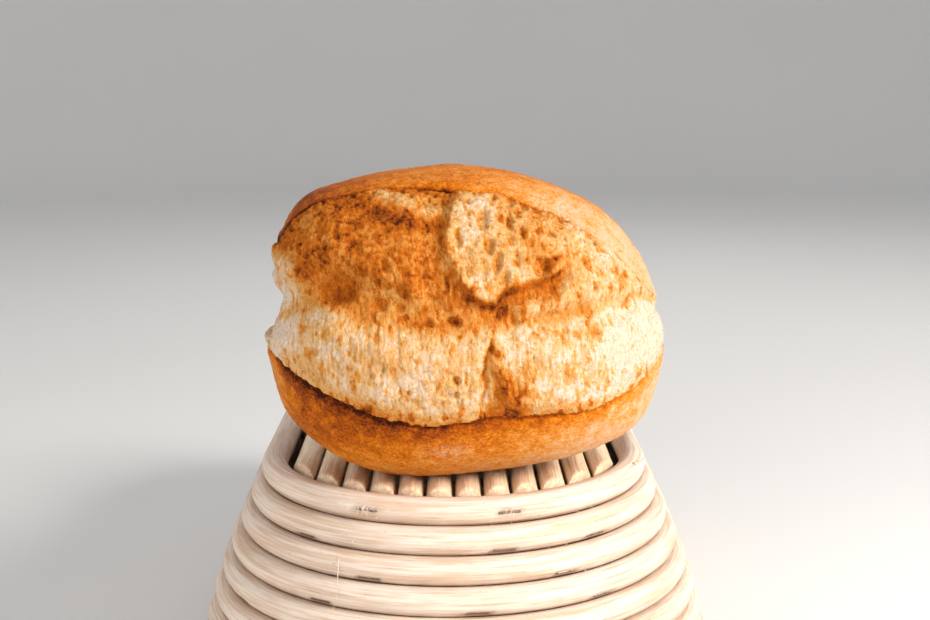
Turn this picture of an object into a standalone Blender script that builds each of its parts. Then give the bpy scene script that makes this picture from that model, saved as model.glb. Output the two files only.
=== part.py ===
"""Crusty oval bread roll standing on its long side on an upturned coiled-cane proofing basket.

Frame: metres, +Z up, +Y along the basket's long axis. The origin is the middle of the rim, which
is the plane that the upturned basket stands on. The roll's burst side faces -Y.
"""
import math

import bmesh
import bpy
import numpy as np
from mathutils import Vector

GAP = 0.0003

# Coiled cane wall. A turn is an oval of two straight sides and two half circles.
CANE_PITCH = 0.008
CANE_SIDES = 8
CANE_TURNS = 10
JOINT_TURNS = (3, 6)
CANE_HALF = (CANE_PITCH - GAP) / 2
FIRST_RADIUS = 0.0546
HALF_STRAIGHT = 0.057
ARC_STEPS = 16
RAMP_STEPS = 6
FLARE_AT_BASE = math.radians(25.0)
FLARE_FADE = 2.0
UPRIGHT_FROM = 9 * CANE_PITCH
SCARF_SHARE = 0.3
FLARE_SAMPLES = 40

# Rods of the base, side by side inside the first turn.
ROD_COUNT = 12
ROD_PITCH = 0.00795
ROD_RADIUS = 0.00365
ROD_SIDES = 12
ROD_PROUD = 0.00125

# Wire staples.
WIRE_RADIUS = 0.0004
WIRE_SIDES = 6
WIRE_RING = [
    (math.cos(2 * math.pi * k / WIRE_SIDES), math.sin(2 * math.pi * k / WIRE_SIDES))
    for k in range(WIRE_SIDES)
]
CROWN_WIDTH = 0.0056
LEG_LENGTH = 0.012
CROWN_DEPTH = 0.0033
GROOVE_ANGLE = math.radians(25)
LEG_LEAN = math.radians(9)

# (turn, angle round the end arc in degrees, +1 for the back end and -1 for the front end)
GROOVE_STAPLES = [
    (2, -42, -1),
    (2, 13, -1),
    (2, 40, -1),
    (3, -21, -1),
    (3, 28, -1),
    (4, -33, -1),
    (4, 5, -1),
    (4, 37, -1),
    (5, -60, -1),
    (6, 20, -1),
    (7, -35, -1),
    (8, 50, -1),
    (9, -8, -1),
    (2, 30, 1),
    (3, -45, 1),
    (4, 10, 1),
    (5, 55, 1),
    (6, -20, 1),
    (7, 35, 1),
    (8, -50, 1),
    (9, 12, 1),
    (10, 70, 1),
]
ROD_STAPLES = [(-24, -1), (15, -1), (-24, 1), (15, 1)]

# Bread roll. It stands on its long side, so its length is along X, its width along Z and its
# height along -Y. The outline is seen from the front, from its leftmost point upwards, as
# (x, z) in millimetres from the middle of the roll.
ROLL_MIDDLE_X = 0.003
ROLL_MIDDLE_Y = -HALF_STRAIGHT - 0.0287
ROLL_FLAT_FOOT = 0.0008
ROLL_OUTLINE_MM = [
    (-56, -1),
    (-54.5, 12),
    (-51.5, 26),
    (-44, 34.5),
    (-32, 39.3),
    (-17, 42.7),
    (-2, 44),
    (13, 42),
    (27, 37.5),
    (39, 31),
    (48, 21.5),
    (54, 8),
    (56.2, -5),
    (54.5, -18),
    (50, -28),
    (39, -35),
    (22, -39.8),
    (2, -42.5),
    (-18, -43),
    (-32, -39.8),
    (-43, -33.5),
    (-51, -25),
    (-55, -13),
]
ROLL_CROWN = 0.036
ROLL_BASE = 0.026
ROLL_CROWN_POWER = 2.2
ROLL_BASE_POWER = 3.4
ROLL_SUBDIVISIONS = 5
LIP_DROP = 0.0022
LIP_WIDTH = 0.05
LOBE_RISE = 0.0038
VALLEY_DROP = 0.0018
LEFT_HOLLOW = 0.003

# The two edges of the burst, as (round, up) in degrees seen from the middle of the roll: round
# is 0 towards -Y and 90 towards +X.
UPPER_LIP = [
    (-130, 8),
    (-112, 17),
    (-98, 22),
    (-86, 25),
    (-77, 29),
    (-70, 39.5),
    (-58, 52),
    (-40, 61),
    (-18, 64),
    (6, 63),
    (30, 59),
    (48, 47),
    (62, 31),
    (72, 15),
    (84, 8),
    (96, 4),
    (112, -1),
]
LOWER_LIP = [
    (-130, 8),
    (-112, 1),
    (-98, -2),
    (-86, -2.5),
    (-76, -5),
    (-66, -9),
    (-50, -18),
    (-34, -27.5),
    (-18, -32.5),
    (-4, -33.5),
    (12, -30),
    (32, -27),
    (50, -22.5),
    (64, -14.5),
    (76, -7.5),
    (96, -5),
    (112, -1),
]

CRUST = ((0.62, 0.31, 0.11), 0.75, 0.0)
CANE = ((0.72, 0.58, 0.40), 0.6, 0.0)
ROD = ((0.55, 0.38, 0.22), 0.6, 0.0)
STEEL = ((0.35, 0.33, 0.31), 0.45, 1.0)


def clear_scene():
    for old in list(bpy.data.objects):
        bpy.data.objects.remove(old, do_unlink=True)


def make_material(name, finish):
    color, roughness, metallic = finish
    material = bpy.data.materials.new(name)
    material.use_nodes = True
    shader = material.node_tree.nodes["Principled BSDF"]
    shader.inputs["Base Color"].default_value = (*color, 1.0)
    shader.inputs["Roughness"].default_value = roughness
    shader.inputs["Metallic"].default_value = metallic
    return material


def add_object(name, mesh_builder, material):
    """Link a new object whose mesh is what mesh_builder left in its bmesh."""
    mesh = bpy.data.meshes.new(name)
    mesh_builder.to_mesh(mesh)
    mesh_builder.free()
    if material:
        mesh.materials.append(material)
    mesh.shade_smooth()
    mesh.set_sharp_from_angle(angle=math.radians(50))
    piece = bpy.data.objects.new(name, mesh)
    bpy.context.scene.collection.objects.link(piece)
    return piece


def skin_sections(builder, sections):
    """Join rings of points, each ring counter-clockwise seen along the way, into a closed tube."""
    rings = [[builder.verts.new(point) for point in section] for section in sections]
    count = len(rings[0])
    for here, following in zip(rings, rings[1:]):
        for side in range(count):
            nearby = (side + 1) % count
            builder.faces.new((here[side], here[nearby], following[nearby], following[side]))
    builder.faces.new(reversed(rings[0]))
    builder.faces.new(rings[-1])
    bmesh.ops.recalc_face_normals(builder, faces=builder.faces)


# ---- wall profile ------------------------------------------------------------------------------


def flare(length):
    """Angle of the wall from upright, at a distance along the wall from the first turn."""
    share = min(max(length / UPRIGHT_FROM, 0.0), 1.0)
    return FLARE_AT_BASE * (1.0 - share**FLARE_FADE)


def wall_reach(length):
    """How far the wall has gone out and down at that distance along it."""
    step = length / FLARE_SAMPLES
    angles = [flare(step * (index + 0.5)) for index in range(FLARE_SAMPLES)]
    return step * sum(map(math.sin, angles)), step * sum(map(math.cos, angles))


LAST_LENGTH = (CANE_TURNS - 1) * CANE_PITCH
FIRST_HEIGHT = wall_reach(LAST_LENGTH)[1] + CANE_HALF
ROD_TOP = FIRST_HEIGHT + CANE_HALF + ROD_PROUD
ROD_HEIGHT = ROD_TOP - ROD_RADIUS


def wall_frame(length):
    """Radius and height of the wall there, then its outward and rimward directions as (out, up)."""
    out, down = wall_reach(length)
    angle = flare(length)
    outward = (math.cos(angle), math.sin(angle))
    rimward = (math.sin(angle), -math.cos(angle))
    return FIRST_RADIUS + out, FIRST_HEIGHT - down, outward, rimward


def polygon(sides, apothem):
    """Corners of a regular polygon with flats facing both axes, counter-clockwise."""
    reach = apothem / math.cos(math.pi / sides)
    turn = 2 * math.pi / sides
    return [(reach * math.cos((k + 0.5) * turn), reach * math.sin((k + 0.5) * turn)) for k in range(sides)]


def cane_section(place, heading, length):
    """One cross-section of the cane.

    place turns a radius into the plan point, heading is the plan direction outwards, and the
    first and last turns are planed to the level of the base and of the rim.
    """
    radius, height, outward, rimward = wall_frame(length)
    points = []
    for across, along in polygon(CANE_SIDES, CANE_HALF):
        along = max(along, -CANE_HALF - length)
        along = min(along, LAST_LENGTH + CANE_HALF - length)
        reach = across * outward[0] + along * rimward[0]
        rise = across * outward[1] + along * rimward[1]
        plan = place(radius) + heading * reach
        points.append((plan.x, plan.y, height + rise))
    return points


def arc_place(angle, end):
    """Plan point and heading on an end arc. The angle is 0 at the tip of the oval."""
    heading = Vector((math.sin(angle), end * math.cos(angle)))
    middle = Vector((0.0, end * HALF_STRAIGHT))
    return (lambda radius: middle + heading * radius), heading


def arc_sections(length, end):
    """Half a turn, clockwise seen from above."""
    sections = []
    for step in range(ARC_STEPS + 1):
        angle = -end * (math.pi / 2 - math.pi * step / ARC_STEPS)
        place, heading = arc_place(angle, end)
        sections.append(cane_section(place, heading, length))
    return sections


def ease(share):
    return share * share * (3 - 2 * share)


def ramp_sections(turn, first, last):
    """The step from one turn down to the next, along the straight side at +X."""
    heading = Vector((1.0, 0.0))
    sections = []
    for index in range(1, RAMP_STEPS):
        share = index / RAMP_STEPS
        if first <= share <= last:
            length = (turn - 1 + ease(share)) * CANE_PITCH
            along = HALF_STRAIGHT * (1 - 2 * share)
            sections.append(cane_section(lambda radius: Vector((radius, along)), heading, length))
    return sections


def side_section(length, along):
    """A cross-section on the straight side at -X."""
    return cane_section(lambda radius: Vector((-radius, along)), Vector((-1.0, 0.0)), length)


def cane_lengths():
    """Cross-sections of each length of cane, from the thin start of the coil to its thin end.

    The lengths meet end to end on the straight side at -X.
    """
    finished = []
    sections = ramp_sections(0, SCARF_SHARE, 1.0)
    for turn in range(CANE_TURNS):
        length = turn * CANE_PITCH
        sections += arc_sections(length, -1)
        if turn in JOINT_TURNS:
            finished.append(sections + [side_section(length, -GAP / 2)])
            sections = [side_section(length, GAP / 2)]
        sections += arc_sections(length, 1)
        is_last = turn == CANE_TURNS - 1
        sections += ramp_sections(turn + 1, 0.0, 1 - SCARF_SHARE if is_last else 1.0)
    return finished + [sections]


# ---- pieces ------------------------------------------------------------------------------------


def build_wall(material):
    """The lengths of cane, numbered from the base to the rim."""
    lengths = []
    for number, sections in enumerate(cane_lengths(), 1):
        builder = bmesh.new()
        skin_sections(builder, sections)
        lengths.append(add_object(f"wall_cane_{number}", builder, material))
    return lengths


def build_rod(number, material):
    """One straight rod, both ends cut to the round of the first turn."""
    across = (number - 1 - (ROD_COUNT - 1) / 2) * ROD_PITCH
    end_radius = FIRST_RADIUS - CANE_HALF / math.cos(math.pi / CANE_SIDES) - GAP
    sections = []
    for end in (-1, 1):
        ring = []
        for side, up in polygon(ROD_SIDES, ROD_RADIUS):
            x = across + side
            reach = HALF_STRAIGHT + math.sqrt(end_radius**2 - x**2)
            ring.append((x, end * reach, ROD_HEIGHT + up))
        sections.append(ring)
    builder = bmesh.new()
    skin_sections(builder, sections)
    return add_object(f"base_rod_{number:02d}", builder, material)


def staple_sections(crown, along, inward, radius):
    """Cross-sections of a bent wire: leg, crown and leg."""
    half = along * (CROWN_WIDTH / 2)
    overrun = radius - WIRE_RADIUS
    leg = inward * (LEG_LENGTH + overrun)
    corners = [crown - half + leg, crown - half, crown + half, crown + half + leg]
    normal = along.cross(inward)
    outs = [-along, (-along - inward), (along - inward), along]
    sections = []
    for corner, out in zip(corners, outs):
        sections.append([corner + out * (a * radius) + normal * (b * radius) for a, b in WIRE_RING])
    return sections


def groove_staple(turn, degrees, end):
    """Crown in the groove on the rim side of a turn, legs leaning in through it to the turn before."""
    place, heading = arc_place(math.radians(degrees), end)
    radius, height, outward, rimward = wall_frame((turn - 1) * CANE_PITCH)
    out = Vector((heading.x * outward[0], heading.y * outward[0], outward[1]))
    rim = Vector((heading.x * rimward[0], heading.y * rimward[0], rimward[1]))
    middle = Vector((*place(radius), height))
    crown = middle + (out * math.sin(GROOVE_ANGLE) + rim * math.cos(GROOVE_ANGLE)) * CROWN_DEPTH
    return crown, out.cross(rim).normalized(), -rim * math.cos(LEG_LEAN) - out * math.sin(LEG_LEAN)


def rod_staple(degrees, end):
    """Crown on the outside of the first turn, legs through it into the ends of the rods."""
    place, heading = arc_place(math.radians(degrees), end)
    out = Vector((*heading, 0.0))
    middle = Vector((*place(FIRST_RADIUS), FIRST_HEIGHT))
    return middle + out * CROWN_DEPTH, out.cross(Vector((0, 0, 1))), -out


def build_staples(material):
    """The staples, and one cutter that holds all of their slots."""
    places = [rod_staple(*where) for where in ROD_STAPLES]
    places += [groove_staple(*where) for where in GROOVE_STAPLES]
    slots = bmesh.new()
    for number, (crown, along, inward) in enumerate(places, 1):
        builder = bmesh.new()
        skin_sections(builder, staple_sections(crown, along, inward, WIRE_RADIUS))
        add_object(f"staple_{number:02d}", builder, material)
        skin_sections(slots, staple_sections(crown, along, inward, WIRE_RADIUS + GAP))
    cutter = add_object("staple_slots", slots, None)
    cutter.hide_render = True
    cutter.display_type = "WIRE"
    return cutter


def cut_slots(piece, cutter):
    modifier = piece.modifiers.new("staple_slots", "BOOLEAN")
    modifier.operation = "DIFFERENCE"
    modifier.solver = "EXACT"
    modifier.object = cutter


def smooth_step(low, high, value):
    share = np.clip((value - low) / (high - low), 0.0, 1.0)
    return share * share * (3 - 2 * share)


def smooth_line(points, x):
    """Height at x of a smooth curve through points that are in order of x."""
    xs = np.array([point[0] for point in points], float)
    ys = np.array([point[1] for point in points], float)
    slopes = np.gradient(ys, xs)
    spot = np.clip(np.searchsorted(xs, x) - 1, 0, len(xs) - 2)
    span = xs[spot + 1] - xs[spot]
    t = np.clip((x - xs[spot]) / span, 0.0, 1.0)
    start = (1 + 2 * t) * (1 - t) ** 2 * ys[spot] + t * (1 - t) ** 2 * span * slopes[spot]
    finish = t * t * (3 - 2 * t) * ys[spot + 1] + t * t * (t - 1) * span * slopes[spot + 1]
    return start + finish


def outline_reach(angle):
    """Distance from the middle of the roll to its outline, by the angle round from +X to +Z."""
    polar = [(math.atan2(z, x), math.hypot(x, z) * 0.001) for x, z in ROLL_OUTLINE_MM]
    polar.sort()
    full = 2 * math.pi
    before = [(turn - full, reach) for turn, reach in polar[-3:]]
    after = [(turn + full, reach) for turn, reach in polar[:3]]
    return smooth_line(before + polar + after, angle)


def loaf_reach(directions):
    """Distance from the middle to the plain loaf's skin, for each unit direction."""
    across = np.hypot(directions[:, 0], directions[:, 2])
    outline = outline_reach(np.arctan2(directions[:, 2], directions[:, 0]))
    front = directions[:, 1] < 0
    depth = np.where(front, ROLL_CROWN, ROLL_BASE)
    power = np.where(front, ROLL_CROWN_POWER, ROLL_BASE_POWER)
    level = (across / outline) ** power + (np.abs(directions[:, 1]) / depth) ** power
    return level ** (-1 / power)


def burst_relief(points):
    """Height of the open crumb over the plain loaf: lips that drop, two swollen bands and a hollow at -X."""
    x, y, z = points.T
    around = np.degrees(np.arctan2(x, -y))
    up = np.degrees(np.arctan2(z, np.hypot(x, y)))
    top = smooth_line(UPPER_LIP, around)
    bottom = smooth_line(LOWER_LIP, around)
    share = np.clip((up - bottom) / np.maximum(top - bottom, 1.0), 0.0, 1.0)
    inside = smooth_step(0.0, LIP_WIDTH, share) * smooth_step(0.0, LIP_WIDTH, 1 - share)
    inside *= smooth_step(6.0, 40.0, top - bottom)
    bands = np.sin(2 * np.pi * share) ** 2
    valley = np.exp(-(((share - 0.5) / 0.1) ** 2))
    seam = np.exp(-(((x - 0.005) / 0.004) ** 2)) * smooth_step(0.5, 0.4, share)
    hollow = LEFT_HOLLOW * smooth_step(-74.0, -90.0, around) * np.sin(np.pi * share)
    return inside * (LOBE_RISE * bands - LIP_DROP - VALLEY_DROP * (valley + seam) - hollow)


def build_roll(material):
    """One baked piece: a flat-bottomed loaf with its crust burst open along the top."""
    builder = bmesh.new()
    bmesh.ops.create_icosphere(builder, subdivisions=ROLL_SUBDIVISIONS, radius=1.0)
    directions = np.array([vertex.co.normalized() for vertex in builder.verts])
    points = directions * loaf_reach(directions)[:, None]
    points += directions * burst_relief(points)[:, None]
    lowest = points[:, 2].min() + ROLL_FLAT_FOOT
    points[:, 2] = np.maximum(points[:, 2], lowest)
    points += np.array([ROLL_MIDDLE_X, ROLL_MIDDLE_Y, ROD_TOP + GAP - lowest])
    for vertex, point in zip(builder.verts, points):
        vertex.co = Vector(point)
    return add_object("bread_roll", builder, material)


def main():
    clear_scene()
    cane = make_material("cane", CANE)
    rod = make_material("rod", ROD)
    steel = make_material("staple_wire", STEEL)
    crust = make_material("crust", CRUST)
    slots = build_staples(steel)
    for length in build_wall(cane):
        cut_slots(length, slots)
    for number in range(1, ROD_COUNT + 1):
        cut_slots(build_rod(number, rod), slots)
    build_roll(crust)


main()
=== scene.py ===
"""Looks of a crusty oval bread roll that stands on its side on an upturned cane proofing basket.

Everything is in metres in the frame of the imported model, apart from the roll's own sculpting,
which is in millimetres from the middle of the roll: x along its length, z up, and q out of the
burst side.
"""

import logging
import math
from dataclasses import dataclass, field
from enum import Enum
from typing import Callable, Sequence

import bpy
import numpy as np
from mathutils import Matrix, Vector


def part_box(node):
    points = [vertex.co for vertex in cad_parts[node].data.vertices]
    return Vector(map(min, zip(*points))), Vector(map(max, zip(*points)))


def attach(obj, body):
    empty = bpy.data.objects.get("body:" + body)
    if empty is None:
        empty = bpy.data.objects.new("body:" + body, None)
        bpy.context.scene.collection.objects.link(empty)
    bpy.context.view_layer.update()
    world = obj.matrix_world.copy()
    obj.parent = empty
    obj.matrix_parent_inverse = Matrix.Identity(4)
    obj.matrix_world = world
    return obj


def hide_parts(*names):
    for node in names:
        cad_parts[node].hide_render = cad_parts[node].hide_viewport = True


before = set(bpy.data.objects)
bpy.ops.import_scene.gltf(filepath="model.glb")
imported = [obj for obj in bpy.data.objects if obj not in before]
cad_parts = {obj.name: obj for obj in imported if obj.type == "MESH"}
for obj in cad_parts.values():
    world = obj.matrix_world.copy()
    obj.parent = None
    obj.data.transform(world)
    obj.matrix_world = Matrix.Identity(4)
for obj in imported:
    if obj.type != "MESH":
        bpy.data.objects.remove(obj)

LOG = logging.getLogger("roll_and_basket")
MM = 0.001
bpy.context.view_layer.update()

Points = np.ndarray
Values = np.ndarray
Color = tuple[float, float, float]
Place = tuple[float, float, float]
Face = tuple[int, ...]


# ---- small tools -------------------------------------------------------------------------------


def smooth(low: float, high: float, value: Values) -> Values:
    """Ease from 0 at low to 1 at high.

    Args:
        low: value where the result is 0.
        high: value where the result is 1.
        value: numbers to ease.

    Returns:
        The eased numbers.
    """
    share = np.clip((value - low) / (high - low), 0.0, 1.0)
    return share * share * (3 - 2 * share)


def curve_through(points: Sequence[tuple[float, float]], x: Values) -> Values:
    """Height at x of a smooth curve through points that are in order of x.

    Args:
        points: the (x, y) points.
        x: places to read the curve at.

    Returns:
        The heights.
    """
    xs, ys = np.array(points, float).T
    slopes = np.gradient(ys, xs)
    spot = np.clip(np.searchsorted(xs, x) - 1, 0, len(xs) - 2)
    span = xs[spot + 1] - xs[spot]
    t = np.clip((x - xs[spot]) / span, 0.0, 1.0)
    start = (1 + 2 * t) * (1 - t) ** 2 * ys[spot] + t * (1 - t) ** 2 * span * slopes[spot]
    finish = t * t * (3 - 2 * t) * ys[spot + 1] + t * t * (t - 1) * span * slopes[spot + 1]
    return start + finish


def soft_line(away: Values, width: float | Values) -> Values:
    """A soft line: 1 where away is 0, and fading over the width."""
    return np.exp(-((away / width) ** 2))


def soft_spot(x: Values, z: Values, middle: tuple[float, float], size: tuple[float, float]) -> Values:
    """A soft oval spot on the burst side.

    Args:
        x: places along the roll, or degrees round it.
        z: places up the roll.
        middle: its middle.
        size: how far it fades along and up.

    Returns:
        How much of the spot each place is, 1 at its middle.
    """
    return np.exp(-(((x - middle[0]) / size[0]) ** 2 + ((z - middle[1]) / size[1]) ** 2))


def distance_to_path(x: Values, z: Values, path: Sequence[tuple[float, float]]) -> Values:
    """Distance to the nearest place on a path of straight pieces.

    Args:
        x: places along the roll.
        z: places up the roll.
        path: the path's (x, z) points.

    Returns:
        The distances.
    """
    nearest = np.full(len(x), np.inf)
    for (ax, az), (bx, bz) in zip(path, path[1:]):
        ux, uz = bx - ax, bz - az
        share = np.clip(((x - ax) * ux + (z - az) * uz) / (ux * ux + uz * uz), 0.0, 1.0)
        nearest = np.minimum(nearest, np.hypot(x - ax - share * ux, z - az - share * uz))
    return nearest


def ring_angles(sides: int) -> Values:
    """Angles of a ring's corners."""
    return np.arange(sides) * 2 * np.pi / sides


def ring_faces(rings: int, sides: int, start: int = 0, turned: bool = False) -> list[Face]:
    """Faces between neighbouring rings of points.

    Args:
        rings: how many rings there are.
        sides: how many corners a ring has.
        start: number of the first ring's first point.
        turned: whether the faces face the other way.

    Returns:
        The faces, ring after ring.
    """
    made: list[Face] = []
    for first in range(start, start + (rings - 1) * sides, sides):
        for side in range(sides):
            here, beside = first + side, first + (side + 1) % sides
            if turned:
                made.append((here, beside, beside + sides, here + sides))
            else:
                made.append((here, here + sides, beside + sides, beside))
    return made


class Noise:
    """Repeatable noise on points, with no random state."""

    MASK = 0xFFFFFFFF

    @classmethod
    def hashed(cls, cell: Points, seed: int) -> Values:
        """A number from 0 to 1 for each whole-numbered cell.

        Args:
            cell: whole-numbered cells, one row each.
            seed: which set of numbers to give.

        Returns:
            One number a cell.
        """
        x, y, z = (cell[..., axis].astype(np.int64) for axis in range(3))
        value = (x * 374761393 + y * 668265263 + z * 1440662683 + seed * 974634777) & cls.MASK
        value = ((value ^ (value >> 13)) * 1274126177) & cls.MASK
        value = ((value ^ (value >> 16)) * 2246822519) & cls.MASK
        return ((value ^ (value >> 15)) & 0xFFFFFF) / float(0x1000000)

    @classmethod
    def soft(cls, points: Points, size: float, seed: int = 0) -> Values:
        """Gradient noise of about -1 to 1.

        Args:
            points: where to read it.
            size: size of its lumps.
            seed: which noise.

        Returns:
            The noise.
        """
        scaled = points / size
        base = np.floor(scaled)
        inner = scaled - base
        ease = inner**3 * (inner * (inner * 6 - 15) + 10)
        total = np.zeros(len(points))
        for corner in np.ndindex(2, 2, 2):
            shift = np.array(corner)
            cell = base + shift
            slope = np.stack([cls.hashed(cell, seed * 7 + k) for k in range(3)], axis=1) * 2 - 1
            weight = np.prod(np.where(shift, ease, 1 - ease), axis=1)
            total += weight * np.einsum("ij,ij->i", slope, inner - shift)
        return total * 1.6

    @classmethod
    def rough(cls, points: Points, size: float, octaves: int, seed: int = 0) -> Values:
        """Several sizes of soft noise added up.

        Args:
            points: where to read it.
            size: size of the largest lumps.
            octaves: how many sizes.
            seed: which noise.

        Returns:
            The noise.
        """
        total = np.zeros(len(points))
        for octave in range(octaves):
            total += cls.soft(points, size / 2**octave, seed + octave * 13) / 2**octave
        return total

    @classmethod
    def cells(cls, points: Points, size: float, seed: int = 0) -> tuple[Values, Values]:
        """Distance to the nearest of scattered spots, in sizes, and that spot's own number.

        Args:
            points: where to read it.
            size: how far apart the spots are.
            seed: which spots.

        Returns:
            The distances and the spots' numbers from 0 to 1.
        """
        scaled = points / size
        base = np.floor(scaled)
        nearest = np.full(len(points), 9.0)
        number = np.zeros(len(points))
        for corner in np.ndindex(3, 3, 3):
            cell = base + np.array(corner) - 1
            spot = cell + np.stack([cls.hashed(cell, seed * 5 + k) for k in range(3)], axis=1)
            away = np.linalg.norm(scaled - spot, axis=1)
            closer = away < nearest
            nearest = np.where(closer, away, nearest)
            number = np.where(closer, cls.hashed(cell, seed * 5 + 3), number)
        return nearest, number


class Builder:
    """Makes mesh objects and puts named values on them."""

    @staticmethod
    def piece(name: str, points: Points, faces: Sequence[Sequence[int]], slot: str) -> bpy.types.Object:
        """A smooth-shaded object that rides on the model's only body.

        Args:
            name: the piece's name.
            points: its points.
            faces: its faces, as lists of point numbers.
            slot: a material slot's name, not used.

        Returns:
            The object.
        """
        mesh = bpy.data.meshes.new(name)
        mesh.from_pydata(np.asarray(points, float).tolist(), [], [tuple(map(int, face)) for face in faces])
        mesh.validate()
        mesh.shade_smooth()
        made = bpy.data.objects.new(name, mesh)
        bpy.context.scene.collection.objects.link(made)
        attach(made, "root")
        return made

    @staticmethod
    def paint(made: bpy.types.Object, name: str, values: Values) -> None:
        """Keep one number, or one vector, for each point of a mesh.

        Args:
            made: the object.
            name: the value's name.
            values: one row a point.
        """
        is_vector = values.ndim == 2
        kind = "FLOAT_VECTOR" if is_vector else "FLOAT"
        layer = made.data.attributes.new(name, kind, "POINT")
        layer.data.foreach_set("vector" if is_vector else "value", np.ascontiguousarray(values, np.float32).ravel())

    @staticmethod
    def dress(piece: bpy.types.Object, material: bpy.types.Material) -> None:
        """Give a piece its one material, and report the piece.

        Args:
            piece: the piece.
            material: its material.
        """
        piece.data.materials.clear()
        piece.data.materials.append(material)
        LOG.info("%s: %d faces", piece.name, len(piece.data.polygons))

    @staticmethod
    def lay_out(made: bpy.types.Object, places: Callable[[np.ndarray], np.ndarray]) -> None:
        """Give a mesh its own flat map.

        Args:
            made: the object.
            places: turns (face, corner) number pairs into flat places from 0 to 1.
        """
        mesh = made.data
        starts = np.empty(len(mesh.polygons), np.int32)
        totals = np.empty(len(mesh.polygons), np.int32)
        mesh.polygons.foreach_get("loop_start", starts)
        mesh.polygons.foreach_get("loop_total", totals)
        face = np.repeat(np.arange(len(starts)), totals)
        corner = np.arange(len(mesh.loops)) - np.repeat(starts, totals)
        layer = mesh.uv_layers.new(name="OFBake")
        layer.data.foreach_set("uv", places(np.stack([face, corner], axis=1)).astype(np.float32).ravel())


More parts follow.
